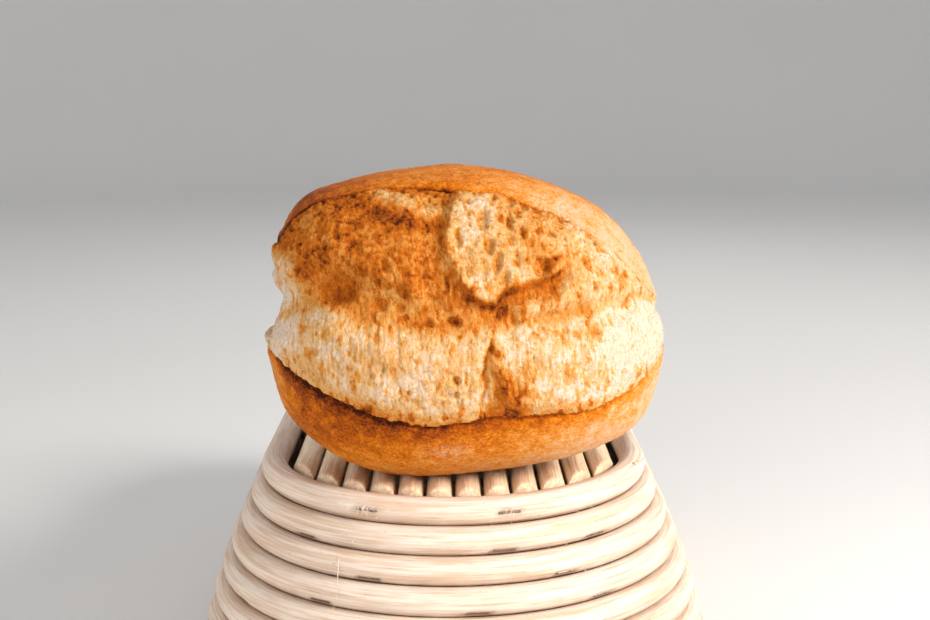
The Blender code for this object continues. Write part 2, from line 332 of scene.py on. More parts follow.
class Shader:
    """A material's node tree, with short ways to add to it."""

    def __init__(self, name: str) -> None:
        """Start a material with one Principled shader."""
        self.material = bpy.data.materials.new(name)
        self.material.use_nodes = True
        self.tree = self.material.node_tree
        self.skin = self.tree.nodes["Principled BSDF"]

    def node(self, kind: str, **settings: object) -> bpy.types.Node:
        """Add a node.

        Args:
            kind: the node's type.
            settings: its properties.

        Returns:
            The node.
        """
        made = self.tree.nodes.new(kind)
        for key, value in settings.items():
            setattr(made, key, value)
        return made

    def join(self, source: object, target: bpy.types.NodeSocket) -> None:
        """Link an output to an input, or set the input to a plain value.

        Args:
            source: an output, or a value.
            target: the input.
        """
        if isinstance(source, bpy.types.NodeSocket):
            self.tree.links.new(source, target)
        else:
            target.default_value = source

    def value(self, name: str) -> bpy.types.NodeSocket:
        """The number that a mesh keeps under a name."""
        return self.node("ShaderNodeAttribute", attribute_name=name).outputs["Fac"]

    def vector(self, name: str) -> bpy.types.NodeSocket:
        """The vector that a mesh keeps under a name."""
        return self.node("ShaderNodeAttribute", attribute_name=name).outputs["Vector"]

    def place(self) -> bpy.types.NodeSocket:
        """The place on the object, in metres."""
        return self.node("ShaderNodeTexCoord").outputs["Object"]

    def stretched(self, source: object, scale: Color) -> bpy.types.NodeSocket:
        """A place with each direction scaled.

        Args:
            source: the place.
            scale: the scale of each direction.

        Returns:
            The scaled place.
        """
        made = self.node("ShaderNodeMapping")
        made.inputs["Scale"].default_value = scale
        self.join(source, made.inputs["Vector"])
        return made.outputs["Vector"]

    def noise(self, place: object, size: float, detail: float = 3.0, rough: float = 0.5) -> bpy.types.NodeSocket:
        """Soft noise from 0 to 1.

        Args:
            place: where to read it.
            size: size of its lumps in metres.
            detail: how many finer sizes it has.
            rough: how strong the finer sizes are.

        Returns:
            The noise.
        """
        made = self.node("ShaderNodeTexNoise")
        made.inputs["Scale"].default_value = 1.0 / size
        made.inputs["Detail"].default_value = detail
        made.inputs["Roughness"].default_value = rough
        self.join(place, made.inputs["Vector"])
        return made.outputs["Fac"]

    def cells(self, place: object, size: float) -> bpy.types.NodeSocket:
        """Distance to the nearest scattered spot, in sizes.

        Args:
            place: where to read it.
            size: how far apart the spots are, in metres.

        Returns:
            The distance.
        """
        made = self.node("ShaderNodeTexVoronoi")
        made.inputs["Scale"].default_value = 1.0 / size
        self.join(place, made.inputs["Vector"])
        return made.outputs["Distance"]

    def math(self, how: str, first: object, second: object = 0.0, clamp: bool = False) -> bpy.types.NodeSocket:
        """One sum.

        Args:
            how: the operation's name.
            first: first number.
            second: second number.
            clamp: whether to keep the result from 0 to 1.

        Returns:
            The result.
        """
        made = self.node("ShaderNodeMath", operation=how, use_clamp=clamp)
        self.join(first, made.inputs[0])
        self.join(second, made.inputs[1])
        return made.outputs[0]

    def remap(self, source: object, low: float, high: float, to_low: float = 0.0, to_high: float = 1.0) -> object:
        """Stretch the range low to high onto another, eased and kept inside it.

        Args:
            source: the number.
            low: start of its range.
            high: end of its range.
            to_low: what low becomes.
            to_high: what high becomes.

        Returns:
            The new number.
        """
        made = self.node("ShaderNodeMapRange", interpolation_type="SMOOTHSTEP")
        self.join(source, made.inputs["Value"])
        limits = (low, high, to_low, to_high)
        for name, limit in zip(("From Min", "From Max", "To Min", "To Max"), limits):
            made.inputs[name].default_value = limit
        return made.outputs["Result"]

    def ramp(self, source: object, stops: Sequence[tuple[float, Color]]) -> bpy.types.NodeSocket:
        """Colours along a number.

        Args:
            source: the number.
            stops: (place, colour) pairs in order.

        Returns:
            The colour.
        """
        made = self.node("ShaderNodeValToRGB")
        ramp = made.color_ramp
        while len(ramp.elements) < len(stops):
            ramp.elements.new(0.5)
        for element, (spot, color) in zip(ramp.elements, stops):
            element.position = spot
            element.color = (*color, 1.0)
        self.join(source, made.inputs["Fac"])
        return made.outputs["Color"]

    def mix(self, share: object, first: object, second: object, how: str = "MIX") -> bpy.types.NodeSocket:
        """Mix two colours.

        Args:
            share: how much of the second.
            first: first colour.
            second: second colour.
            how: the blend's name.

        Returns:
            The mixed colour.
        """
        made = self.node("ShaderNodeMix", data_type="RGBA", blend_type=how)
        self.join(share, made.inputs["Factor"])
        for color, socket in ((first, made.inputs[6]), (second, made.inputs[7])):
            self.join((*color, 1.0) if isinstance(color, tuple) else color, socket)
        return made.outputs[2]

    def bump(self, height: object, depth: float, before: object = None) -> bpy.types.NodeSocket:
        """Fine relief.

        Args:
            height: the relief from 0 to 1.
            depth: how deep it is in metres.
            before: relief to add it to.

        Returns:
            The bent normal.
        """
        made = self.node("ShaderNodeBump")
        made.inputs["Distance"].default_value = depth
        self.join(height, made.inputs["Height"])
        if before is not None:
            self.join(before, made.inputs["Normal"])
        return made.outputs["Normal"]

    def finish(self, color: object, roughness: object, normal: object = None) -> bpy.types.Material:
        """Join colour, roughness and normal to the shader.

        Args:
            color: base colour.
            roughness: roughness.
            normal: bent normal.

        Returns:
            The material.
        """
        self.join(color, self.skin.inputs["Base Color"])
        self.join(roughness, self.skin.inputs["Roughness"])
        if normal is not None:
            self.join(normal, self.skin.inputs["Normal"])
        return self.material


# ---- finishes ----------------------------------------------------------------------------------


@dataclass(frozen=True)
class BreadFinish:
    """Baked crust and torn crumb, mixed by what the roll's mesh keeps."""

    crust: tuple[tuple[float, Color], ...] = (
        (0.0, (0.84, 0.51, 0.31)),
        (0.2, (0.84, 0.35, 0.075)),
        (0.42, (0.72, 0.195, 0.004)),
        (0.65, (0.44, 0.088, 0.004)),
        (0.85, (0.20, 0.034, 0.003)),
        (1.0, (0.05, 0.009, 0.003)),
    )
    crumb: tuple[tuple[float, Color], ...] = (
        (0.0, (0.92, 0.73, 0.58)),
        (0.2, (0.87, 0.51, 0.21)),
        (0.4, (0.78, 0.33, 0.070)),
        (0.6, (0.66, 0.17, 0.010)),
        (0.8, (0.42, 0.095, 0.008)),
        (1.0, (0.11, 0.020, 0.005)),
    )
    flour: Color = (0.88, 0.80, 0.68)

    def make(self) -> bpy.types.Material:
        """Build the material."""
        shader = Shader("bread")
        place = shader.place()
        torn = shader.value("crumb")
        bake = shader.value("bake")
        dust = shader.value("flour")
        crust_bake = self.crust_bake(shader, place, bake)
        crumb_bake = self.crumb_bake(shader, place, bake)
        crust = shader.ramp(crust_bake, self.crust)
        crumb = shader.ramp(crumb_bake, self.crumb)
        color = shader.mix(torn, crust, crumb)
        powder = shader.remap(shader.noise(place, 0.0011, 4.0, 0.7), 0.42, 0.68)
        color = shader.mix(shader.math("MULTIPLY", powder, dust, clamp=True), color, self.flour)
        roughness = shader.remap(torn, 0.0, 1.0, 0.48, 0.7)
        grain = shader.bump(shader.noise(place, 0.0014, 5.0, 0.75), 0.0012)
        strand = shader.noise(shader.stretched(place, (1.0, 1.0, 0.4)), 0.0005, 3.0, 0.6)
        fine = shader.bump(shader.math("MULTIPLY", strand, shader.remap(torn, 0.0, 1.0, 0.25, 1.0)), 0.0008, grain)
        skin = shader.skin
        skin.inputs["Subsurface Weight"].default_value = 0.12
        skin.inputs["Subsurface Radius"].default_value = (1.0, 0.45, 0.2)
        skin.inputs["Subsurface Scale"].default_value = 0.0018
        skin.inputs["Specular IOR Level"].default_value = 0.06
        return shader.finish(color, roughness, fine)

    @staticmethod
    def crust_bake(shader: Shader, place: object, bake: object) -> bpy.types.NodeSocket:
        """How dark the crust is: mottled, with pale blisters.

        Args:
            shader: the material.
            place: place on the object.
            bake: how baked the mesh says it is.

        Returns:
            The bake.
        """
        broad = shader.remap(shader.noise(place, 0.0035, 6.0, 0.7), 0.25, 0.75, -0.16, 0.16)
        grit = shader.remap(shader.noise(place, 0.0008, 3.0, 0.7), 0.3, 0.7, -0.13, 0.13)
        mottle = shader.math("ADD", broad, grit)
        blister = shader.remap(shader.cells(place, 0.0012), 0.10, 0.32, -0.17, 0.0)
        few = shader.remap(shader.noise(place, 0.004, 2.0), 0.45, 0.65)
        speckle = shader.math("MULTIPLY", blister, few)
        return shader.math("ADD", shader.math("ADD", bake, mottle), speckle, clamp=True)

    @staticmethod
    def crumb_bake(shader: Shader, place: object, bake: object) -> bpy.types.NodeSocket:
        """How dark the crumb is: streaked and flecked.

        Args:
            shader: the material.
            place: place on the object.
            bake: how baked the mesh says it is.

        Returns:
            The bake.
        """
        strands = shader.noise(shader.stretched(place, (1.0, 1.0, 0.32)), 0.0008, 4.0, 0.7)
        streak = shader.remap(strands, 0.3, 0.72, -0.11, 0.13)
        fleck = shader.remap(shader.noise(place, 0.0012, 3.0, 0.65), 0.52, 0.70, 0.0, 0.20)
        return shader.math("ADD", shader.math("ADD", bake, streak), fleck, clamp=True)


class CaneKind(Enum):
    """Which of the basket's canes a finish is for."""

    WALL = "wall"
    ROD = "rod"


@dataclass(frozen=True)
class CaneFinish:
    """Bare rattan core: pale, with long fibres and tan streaks, darkened by the mesh's shade value: painted shade
    where turns and rods meet, and the staples' stain.
    """

    kind: CaneKind
    pale: Color
    tan: Color
    dark: Color
    streaks: float

    def make(self) -> bpy.types.Material:
        """Build the material."""
        shader = Shader(f"cane_{self.kind.value}")
        grain = shader.vector("grain")
        shade = shader.value("shade")
        long_grain = shader.stretched(grain, (0.05, 1.0, 1.0))
        fibre = shader.noise(shader.stretched(grain, (0.025, 1.0, 1.0)), 0.0006, 4.0, 0.75)
        band = shader.noise(long_grain, 0.0016, 4.0, 0.6)
        patch = shader.noise(shader.stretched(grain, (0.18, 1.0, 1.0)), 0.006, 3.0, 0.6)
        mottle = shader.math("MULTIPLY", shader.remap(band, 0.42, 0.74), self.streaks)
        tone = shader.mix(mottle, self.pale, self.tan)
        blotch = shader.math("MULTIPLY", shader.remap(patch, 0.5, 0.75), self.streaks * 0.8)
        tone = shader.mix(blotch, tone, self.tan)
        hair = shader.remap(fibre, 0.48, 0.62, 0.0, 0.7)
        tone = shader.mix(shader.math("MULTIPLY", hair, self.streaks), tone, self.tan)
        line = shader.remap(fibre, 0.60, 0.74, 0.0, 0.7)
        tone = shader.mix(shader.math("MULTIPLY", line, self.streaks), tone, self.dark)
        pore = shader.remap(shader.cells(shader.stretched(grain, (0.35, 1.0, 1.0)), 0.0021), 0.03, 0.10, 1.0, 0.0)
        tone = shader.mix(shader.math("MULTIPLY", pore, 0.5), tone, self.dark)
        # Painted shade, and the staples' stain, from the mesh's shade value.
        color = shader.mix(shade, tone, self.dark)
        relief = shader.bump(fibre, 0.0003)
        relief = shader.bump(band, 0.0004, relief)
        shader.skin.inputs["Specular IOR Level"].default_value = 0.2
        roughness = shader.remap(band, 0.3, 0.7, 0.5, 0.72)
        return shader.finish(color, roughness, relief)


WALL_CANE = CaneFinish(
    kind=CaneKind.WALL, pale=(0.82, 0.70, 0.60), tan=(0.64, 0.44, 0.30), dark=(0.36, 0.20, 0.11), streaks=0.95
)
ROD_CANE = CaneFinish(
    kind=CaneKind.ROD, pale=(0.95, 0.79, 0.58), tan=(0.70, 0.46, 0.26), dark=(0.24, 0.11, 0.05), streaks=0.9
)


@dataclass(frozen=True)
class WireFinish:
    """Dull staple wire with brown spots."""

    steel: Color = (0.22, 0.20, 0.19)
    rust: Color = (0.16, 0.07, 0.03)

    def make(self) -> bpy.types.Material:
        """Build the material."""
        shader = Shader("staple_wire")
        spots = shader.remap(shader.noise(shader.place(), 0.0008, 3.0, 0.6), 0.45, 0.65)
        color = shader.mix(spots, self.steel, self.rust)
        shader.join(shader.remap(spots, 0.0, 1.0, 0.85, 0.2), shader.skin.inputs["Metallic"])
        return shader.finish(color, shader.remap(spots, 0.0, 1.0, 0.42, 0.8))


@dataclass(frozen=True)
class FloorFinish:
    """Plain pale studio floor with the faintest tooth."""

    color: Color = (0.80, 0.79, 0.78)

    def make(self) -> bpy.types.Material:
        """Build the material."""
        shader = Shader("studio_floor")
        cloud = shader.noise(shader.place(), 0.4, 2.0)
        color = shader.mix(shader.remap(cloud, 0.3, 0.7), self.color, tuple(c * 0.985 for c in self.color))
        return shader.finish(color, 0.85)


# ---- the roll ----------------------------------------------------------------------------------


@dataclass(frozen=True)
class Patch:
    """A part of the burst inside an outline of (x, z) points."""

    outline: tuple[tuple[float, float], ...]

    def depth_inside(self, x: Values, z: Values) -> Values:
        """Distance in from the outline, less than 0 outside it.

        Args:
            x: places along the roll.
            z: places up the roll.

        Returns:
            The distances.
        """
        closed = (*self.outline, self.outline[0])
        nearest = distance_to_path(x, z, closed)
        inside = np.zeros(len(x), bool)
        for (ax, az), (bx, bz) in zip(closed, closed[1:]):
            if az != bz:
                edge = ax + (z - az) * (bx - ax) / (bz - az)
                inside ^= ((az > z) != (bz > z)) & (x < edge)
        return np.where(inside, nearest, -nearest)


@dataclass(frozen=True)
class Lump(Patch):
    """A swollen part: its rise, the spread of its foot, the width of its shoulder and its bake.

    Its own colour starts at bake_from, a distance in from its outline.
    """

    rise: float
    skirt: float
    shoulder: float
    bake: float
    bake_from: float = -1.2


@dataclass(frozen=True)
class Pit:
    """A hole that a gas bubble left: middle, half sizes, turn in degrees and depth."""

    x: float
    z: float
    half_x: float
    half_z: float
    turn: float
    depth: float

    def share(self, x: Values, z: Values) -> Values:
        """How far in from the rim each place is, 1 at the middle and 0 at the rim."""
        turn = math.radians(self.turn)
        u = (x - self.x) * math.cos(turn) + (z - self.z) * math.sin(turn)
        v = (z - self.z) * math.cos(turn) - (x - self.x) * math.sin(turn)
        return 1 - np.hypot(u / self.half_x, v / self.half_z)

    @property
    def size(self) -> float:
        """Its smaller half size."""
        return min(self.half_x, self.half_z)

    @property
    def is_hollow(self) -> bool:
        """Whether it is a wide soft hollow rather than a hole."""
        return self.size > 3

    @property
    def floor_shade(self) -> float:
        """How much painted shade darkens its floor: less in a hollow and in the dark upper left part."""
        if self.is_hollow:
            return 0.12
        return 0.2 if self.x < -15 and self.z > 13 else 0.42


UPPER_LEFT = Lump(
    outline=(
        (-60, 20), (-54, 36), (-37, 44), (-20, 46), (-9, 44), (-9, 34), (-10.5, 29), (-9, 23), (-8.5, 17),
        (-9.5, 13), (-14, 12), (-18, 13), (-22, 14), (-26, 17), (-31, 19), (-37, 18.5), (-42, 14.5), (-48, 13),
    ),
    rise=2.6, skirt=2.5, shoulder=5.0, bake=0.58,
)
UPPER_MIDDLE = Lump(
    outline=(
        (-3, 46), (-4.5, 34), (-5.2, 26), (-4, 20), (-2, 15.5), (1, 12), (5, 9.5), (8.5, 9), (11.5, 12),
        (15.5, 13), (18, 15), (21.5, 15.5), (26, 17.5), (26.5, 21), (31, 27), (36, 36), (30, 46),
    ),
    rise=3.1, skirt=0.5, shoulder=1.7, bake=0.30, bake_from=0.9,
)
UPPER_RIGHT = Lump(
    outline=(
        (22, 20), (26, 30), (36, 42), (62, 30), (64, 9), (58, 8), (47, 9.6), (36, 9.2), (28, 8), (20, 7.5),
        (13, 7.0), (9.8, 7.2), (12.5, 9.6), (17, 11.4), (23, 13.2), (27, 16.5),
    ),
    rise=2.5, skirt=1.5, shoulder=3.5, bake=0.19,
)
LOWER_LEFT = Lump(
    outline=(
        (-64, 3), (-52, 3), (-44, 7), (-36, 10), (-27, 7), (-16, 4.5), (-6, 3), (4, 4.5), (9.5, 4), (9.5, -32),
        (-64, -32),
    ),
    rise=2.8, skirt=3.0, shoulder=8.0, bake=0.18,
)
LOWER_RIGHT = Lump(
    outline=((3.5, 4), (15, 5.5), (25, 4.5), (36, 7.5), (47, 9), (64, 6), (64, -32), (3.5, -32)),
    rise=2.8, skirt=2.5, shoulder=7.5, bake=0.14,
)
CORD_FAN = Patch(
    outline=((6.8, 6), (8.6, 4), (9.5, -4), (13, -7), (16.5, -12), (19.5, -26), (4, -26), (6, -14), (7, -4))
)
# Darker spots on the burst as (strength, middle, size): a small one low in the middle, and painted shade in the bowl
# at the upper right and in the soft hollow at the left.
SPOTS_AND_HOLLOW_SHADE = ((0.6, (-1.4, 2.4), (0.9, 0.6)), (0.65, (23.3, 20.5), (1.7, 1.4)), (0.22, (-33, 13.5), (5.5, 4)))
CORD_ROUTE = ((9.5, 4.0), (8.3, -5.0), (10.8, -11.0), (14.5, -21.0))
LUMPS = (UPPER_LEFT, UPPER_MIDDLE, LOWER_LEFT, LOWER_RIGHT, UPPER_RIGHT)

PITS = (
    Pit(-28, 19, 1.5, 1.9, 0, 1.8), Pit(-20, 20, 1.3, 2.2, 20, 1.8), Pit(-15.7, 14, 2.4, 2.0, -25, 2.0),
    Pit(-21, 15.5, 2.6, 1.8, 0, 1.3), Pit(-27.5, 24.5, 1.5, 1.9, 15, 1.2), Pit(-36.5, 24, 2.6, 1.8, 0, 0.9),
    Pit(-37.5, 28.5, 2.2, 1.7, -20, 0.9), Pit(-27, 29.5, 1.3, 1.0, 0, 0.8), Pit(-20, 28.5, 1.0, 1.1, 0, 0.9),
    Pit(-45, 21, 1.2, 1.3, 0, 1.2), Pit(-33, 27, 1.1, 1.2, 0, 0.8), Pit(-23, 33, 1.2, 1.0, 0, 0.8),
    Pit(5, 31, 2.2, 3.3, 0, 1.9), Pit(12, 30, 1.1, 1.8, 10, 2.0), Pit(15.3, 27.5, 1.0, 2.0, 15, 2.0),
    Pit(12.5, 35, 1.2, 1.9, 0, 1.4), Pit(16, 34.5, 1.6, 2.2, 0, 2.0), Pit(19.2, 33.5, 1.8, 2.0, 20, 2.0),
    Pit(6.5, 24.5, 1.9, 2.6, 0, 2.0), Pit(8.6, 20.5, 1.5, 3.2, -10, 2.2), Pit(5, 19.5, 1.2, 2.2, 10, 1.2),
    Pit(10.8, 16.5, 1.2, 2.5, 0, 1.5), Pit(20, 19.3, 2.9, 2.8, 0, 3.0), Pit(13.8, 21.5, 0.9, 2.6, 5, 1.1),
    Pit(1, 32.5, 1.0, 1.4, 0, 1.0), Pit(-1.5, 28, 0.9, 1.3, 0, 0.7), Pit(22.5, 27, 1.2, 1.0, 0, 1.0),
    Pit(-33.5, 14, 7.5, 5.2, 15, 4.2), Pit(-22.5, 10.3, 2.8, 2.2, -20, 1.8), Pit(-17, 9.2, 1.6, 1.4, 0, 1.2),
    Pit(-2.5, 6, 2.3, 1.6, -15, 2.6), Pit(-9.5, 5, 2.0, 1.1, 10, 1.3), Pit(-2, -9, 1.1, 1.2, 0, 1.7),
    Pit(-2, -13, 0.9, 1.0, 0, 1.3), Pit(-24, -8, 0.8, 1.0, 0, 1.0), Pit(-20.5, -6, 0.6, 1.0, 0, 1.0),
    Pit(-12.5, -4, 0.7, 0.6, 0, 0.9), Pit(-14.5, -12.5, 0.8, 0.7, 0, 0.8), Pit(-39, -3, 1.8, 1.3, 20, 0.7),
    Pit(34.5, 13, 0.9, 0.9, 0, 1.1), Pit(13, 5.5, 1.4, 1.3, 0, 1.2), Pit(20, 3.5, 1.5, 0.9, 0, 0.9),
    Pit(26.5, 3, 1.2, 1.5, 0, 0.9), Pit(18, -3.5, 0.7, 0.7, 0, 0.8), Pit(26, -8.5, 0.8, 0.8, 0, 0.8),
    Pit(34, 2.5, 1.6, 2.6, -20, 0.8), Pit(42, 15, 1.6, 1.6, 0, 0.8), Pit(31, 20, 0.8, 1.2, 30, 0.8),
)


@dataclass
class BreadRoll:
    """The roll: a plain loaf form, then its burst, lips, crumb and crust."""

    node: str = "bread_roll"
    rounds: int = 330
    rings: int = 288
    foot_below_middle: float = 42.2
    middle_x: float = 3.0
    crown: float = 36.0
    base: float = 26.0
    crown_power: float = 2.2
    base_power: float = 3.4
    rift: float = -1.8
    merging: float = 1.6
    outline: tuple[tuple[float, float], ...] = (
        (-54.9, -1), (-53.4, 12), (-51.3, 23.5), (-45.2, 34.4), (-32.5, 39.8), (-17, 42.7), (-2, 44), (13, 42),
        (27, 37.5), (39, 31), (48, 21.5), (54, 8), (56.2, -5), (54.5, -18), (50, -28), (39, -35),
        (22, -39.8), (2, -42.5), (-18, -43), (-32, -39.6), (-42.4, -33), (-50, -24.5), (-53.8, -13),
    )
    upper_lip: tuple[tuple[float, float], ...] = (
        (-130, 8), (-112, 17), (-98, 22), (-86, 25), (-77, 29), (-70, 39.5), (-58, 52), (-40, 61), (-18, 64),
        (6, 63), (30, 59), (48, 47), (62, 31), (72, 15), (84, 8), (96, 4), (112, -1),
    )
    lower_lip: tuple[tuple[float, float], ...] = (
        (-130, 8), (-112, 1), (-98, -3), (-86, -4), (-76, -6.5), (-66, -10.5), (-50, -19.5), (-34, -28.7),
        (-18, -33.5), (-4, -34.4), (12, -31.3), (32, -28.4), (50, -23.8), (64, -16.3), (76, -9.5), (96, -6),
        (112, -1),
    )
    paints: dict[str, Values] = field(default_factory=dict)

    def outline_reach(self, angle: Values) -> Values:
        """Distance from the middle to the outline, by the angle round from +x to +z."""
        polar = sorted((math.atan2(z, x), math.hypot(x, z)) for x, z in self.outline)
        full = 2 * math.pi
        before = [(turn - full, reach) for turn, reach in polar[-3:]]
        after = [(turn + full, reach) for turn, reach in polar[:3]]
        return curve_through(before + polar + after, angle)

    def plain_reach(self, way: Points) -> Values:
        """Distance from the middle to the plain loaf's skin, for each unit direction (x, q, z)."""
        across = np.hypot(way[:, 0], way[:, 2])
        outline = self.outline_reach(np.arctan2(way[:, 2], way[:, 0]))
        front = way[:, 1] > 0
        depth = np.where(front, self.crown, self.base)
        power = np.where(front, self.crown_power, self.base_power)
        level = (across / outline) ** power + (np.abs(way[:, 1]) / depth) ** power
        return level ** (-1 / power)

    @staticmethod
    def even_steps(curve: Callable[[Values], Points], count: int, weight: Callable[[Values], Values]) -> Values:
        """Turns from 0 to 1 that are evenly spaced along a curve, closer where the weight is more.

        Args:
            curve: gives points for turns.
            count: how many steps.
            weight: how many steps a millimetre gets there.

        Returns:
            The turns, one more than the steps.
        """
        fine = np.linspace(0.0, 1.0, 4001)
        lengths = np.linalg.norm(np.diff(curve(fine), axis=0), axis=1)
        run = np.concatenate([[0.0], np.cumsum(lengths * weight((fine[1:] + fine[:-1]) / 2))])
        return np.interp(np.linspace(0.0, run[-1], count + 1), run, fine)

    def directions(self) -> Points:
        """Unit directions of all points: the left tip, the rings from left to right, the right tip."""

        def lengthwise(turn: Values) -> Points:
            """Points along the loaf's front, from tip to tip."""
            way = np.stack([-np.cos(turn * np.pi), np.sin(turn * np.pi), 0 * turn], axis=1)
            return way * self.plain_reach(way)[:, None]

        def crosswise(turn: Values) -> Points:
            """Points round the loaf's middle, from the back over the top and front."""
            angle = turn * 2 * np.pi
            way = np.stack([0 * turn, -np.cos(angle), np.sin(angle)], axis=1)
            return way * self.plain_reach(way)[:, None]

        along = self.even_steps(lengthwise, self.rings, lambda turn: 1 + 0 * turn)[1:-1] * np.pi
        around = self.even_steps(
            crosswise, self.rounds, lambda turn: 0.45 + 1.1 * smooth(0.14, 0.24, turn) * smooth(0.82, 0.72, turn)
        )[:-1]
        around = around * 2 * np.pi
        x = -np.cos(along)[:, None] + 0 * around[None, :]
        q = np.sin(along)[:, None] * -np.cos(around)[None, :]
        z = np.sin(along)[:, None] * np.sin(around)[None, :]
        grid = np.stack([x, q, z], axis=2).reshape(-1, 3)
        return np.vstack([[-1.0, 0.0, 0.0], grid, [1.0, 0.0, 0.0]])

    def faces(self) -> list[Face]:
        """Faces between neighbouring rings, and the fans at both tips."""
        rounds, rows = self.rounds, self.rings - 1
        last = 1 + rows * rounds
        made = ring_faces(rows, rounds, 1)
        for step in range(rounds):
            beside = (step + 1) % rounds
            made.append((0, 1 + step, 1 + beside))
            made.append((last, last - rounds + beside, last - rounds + step))
        return made

    def lip_distances(self, points: Points) -> tuple[Values, Values, Values]:
        """Millimetres in from the upper lip and from the lower lip, and the share of the way up.

        Args:
            points: points of the plain loaf.

        Returns:
            The two distances, more than 0 inside the burst, and the share.
        """
        x, q, z = points.T
        around = np.degrees(np.arctan2(x, q))
        up = np.degrees(np.arctan2(z, np.hypot(x, q)))
        reach = np.linalg.norm(points, axis=1)
        top = curve_through(self.upper_lip, around)
        bottom = curve_through(self.lower_lip, around)
        degree = reach * math.pi / 180
        behind = smooth(0.0, 5.0, np.maximum(around - 107.0, -124.0 - around)) * 40.0
        share = (up - bottom) / np.maximum(top - bottom, 1.0)
        return (top - up - behind) * degree, (up - bottom - behind) * degree, share

    def sculpt(self, points: Points) -> tuple[Values, Values]:
        """Relief of the whole roll, and how far the lip of crust leans over the burst.

        Args:
            points: points of the plain loaf, in millimetres from its middle.

        Returns:
            The relief outwards and the lean downwards, in millimetres.
        """
        x, q, z = points.T
        ragged = 0.45 * Noise.soft(points, 2.6, 3) + 0.28 * Noise.soft(points, 0.9, 4)
        from_top, from_bottom, share = self.lip_distances(points)
        in_top = from_top + 0.5 * ragged
        in_bottom = from_bottom + 1.3 * ragged
        inside = np.minimum(in_top, in_bottom)
        torn = smooth(-0.15, 0.35, inside)
        wx = x + 1.2 * Noise.soft(points, 8.0, 11) + 0.55 * Noise.soft(points, 2.4, 12)
        wz = z + 1.2 * Noise.soft(points, 8.0, 13) + 0.55 * Noise.soft(points, 2.4, 14)

        relief, bake = self.lumps(wx, wz, points)
        hole_depth, hole = self.holes(x + 0.25 * (wx - x), z + 0.25 * (wz - z), points, share)
        relief -= hole_depth
        # Painted shade in the pits and pores.
        bake += 0.42 * hole
        fibre, strand = self.fibres(points, wx, wz)
        relief += fibre
        away, _ = Noise.cells(points, 1.35, 23)
        granular = smooth(-8.0, -13.0, x) * smooth(12.0, 16.0, z)
        relief += 0.42 * (0.5 - away) * granular
        bake += strand + 0.16 * (away - 0.5) * granular
        bake += self.crumb_stains_shade_and_light(points, wx, wz, in_top, in_bottom)
        closing = smooth(0.0, 1.6, in_top)
        fade = 1 - 0.75 * smooth(24.0, 44.0, x)
        relief = relief * closing - 1.0 * fade * (1 - closing)
        by_edge = smooth(6.0, 0.6, in_bottom)
        relief = relief * (1 - by_edge) + 0.45 * by_edge
        relief += self.torn_ends(points)

        crust, crust_bake = self.crust(points, in_top, in_bottom)
        height = crust * (1 - torn) + relief * torn
        lean = 0.9 * fade * smooth(-2.6, -0.2, in_top) * smooth(0.35, 0.0, in_top) * smooth(0.0, 8.0, z)
        self.paints = {
            "crumb": torn,
            "bake": np.clip(crust_bake * (1 - torn) + bake * torn, 0.0, 1.0),
            "flour": self.flour(points, torn),
        }
        return height, lean

    @staticmethod
    def torn_ends(points: Points) -> Values:
        """The deep tear at the left tip with its one bulge, and the shallow one at the right tip.

        Args:
            points: points of the plain loaf.

        Returns:
            The relief.
        """
        x, q, z = points.T
        around = np.degrees(np.arctan2(x, q))
        left = smooth(-72.0, -88.0, around)
        right = smooth(76.0, 90.0, around)
        open_left = smooth(-2.4, -1.2, z) * smooth(12.0, 9.5, z)
        open_right = smooth(-7.0, -5.0, z) * smooth(6.5, 4.5, z)
        bulge = soft_spot(around, z, (-90, 13.8), (11, 2.0))
        spike = soft_spot(around, z, (-90, -3.1), (9, 0.9))
        flap = soft_spot(around, z, (92, 6.5), (10, 1.6))
        return (1.5 * bulge + 0.5 * spike) * left - 3.0 * left * open_left - 3.7 * right * open_right + 0.8 * flap

    def lumps(self, x: Values, z: Values, points: Points) -> tuple[Values, Values]:
        """The burst's swollen parts over its rift.

        Args:
            x: bent places along.
            z: bent places up.
            points: places for noise.

        Returns:
            The relief and the bake.
        """
        total = np.ones(len(x))
        bake = np.full(len(x), 0.46)
        for lump in LUMPS:
            depth = lump.depth_inside(x, z)
            total += np.exp(self.merging * lump.rise * smooth(-lump.skirt, lump.shoulder, depth)) - 1
            cover = smooth(lump.bake_from, 2.4, depth)
            bake = bake * (1 - cover) + lump.bake * cover
        relief = self.rift + np.log(total) / self.merging
        relief += 0.40 * Noise.soft(points, 6.5, 21) + 0.28 * Noise.soft(points, 3.0, 22)
        edge = UPPER_MIDDLE.depth_inside(x, z)
        sheet = smooth(-7.0, -3.0, edge) * smooth(1.0, -0.6, edge) * smooth(3.0, 0.0, x) * smooth(8.0, 12.0, z)
        bake += (0.57 - bake) * sheet * smooth(34.0, 26.0, z)
        crest, shade = self.crest(x, z)
        # Painted shade: the hollow below the crest is made darker, as well as dipped in the relief.
        bake += 0.30 * shade - 0.36 * crest
        return relief + 1.1 * sheet + 0.8 * crest - 0.6 * shade, bake

    @staticmethod
    def crest(x: Values, z: Values) -> tuple[Values, Values]:
        """The pale torn crest under the upper lip at the left, and the hollow below it, where shade is painted.

        Args:
            x: bent places along.
            z: bent places up.

        Returns:
            How much each place is of the crest and of the hollow.
        """
        above = z - 35.0 + 0.22 * (x + 14)
        along = soft_line(x + 17, 11)
        return along * soft_line(above, 1.7), along * soft_line(above + 4.2, 1.6)

    @staticmethod
    def calm(x: Values, z: Values) -> Values:
        """How much each place is of the soft hollow at the left, where the crumb is smooth."""
        return soft_spot(x, z, (-34, 14), (6.5, 4.5))

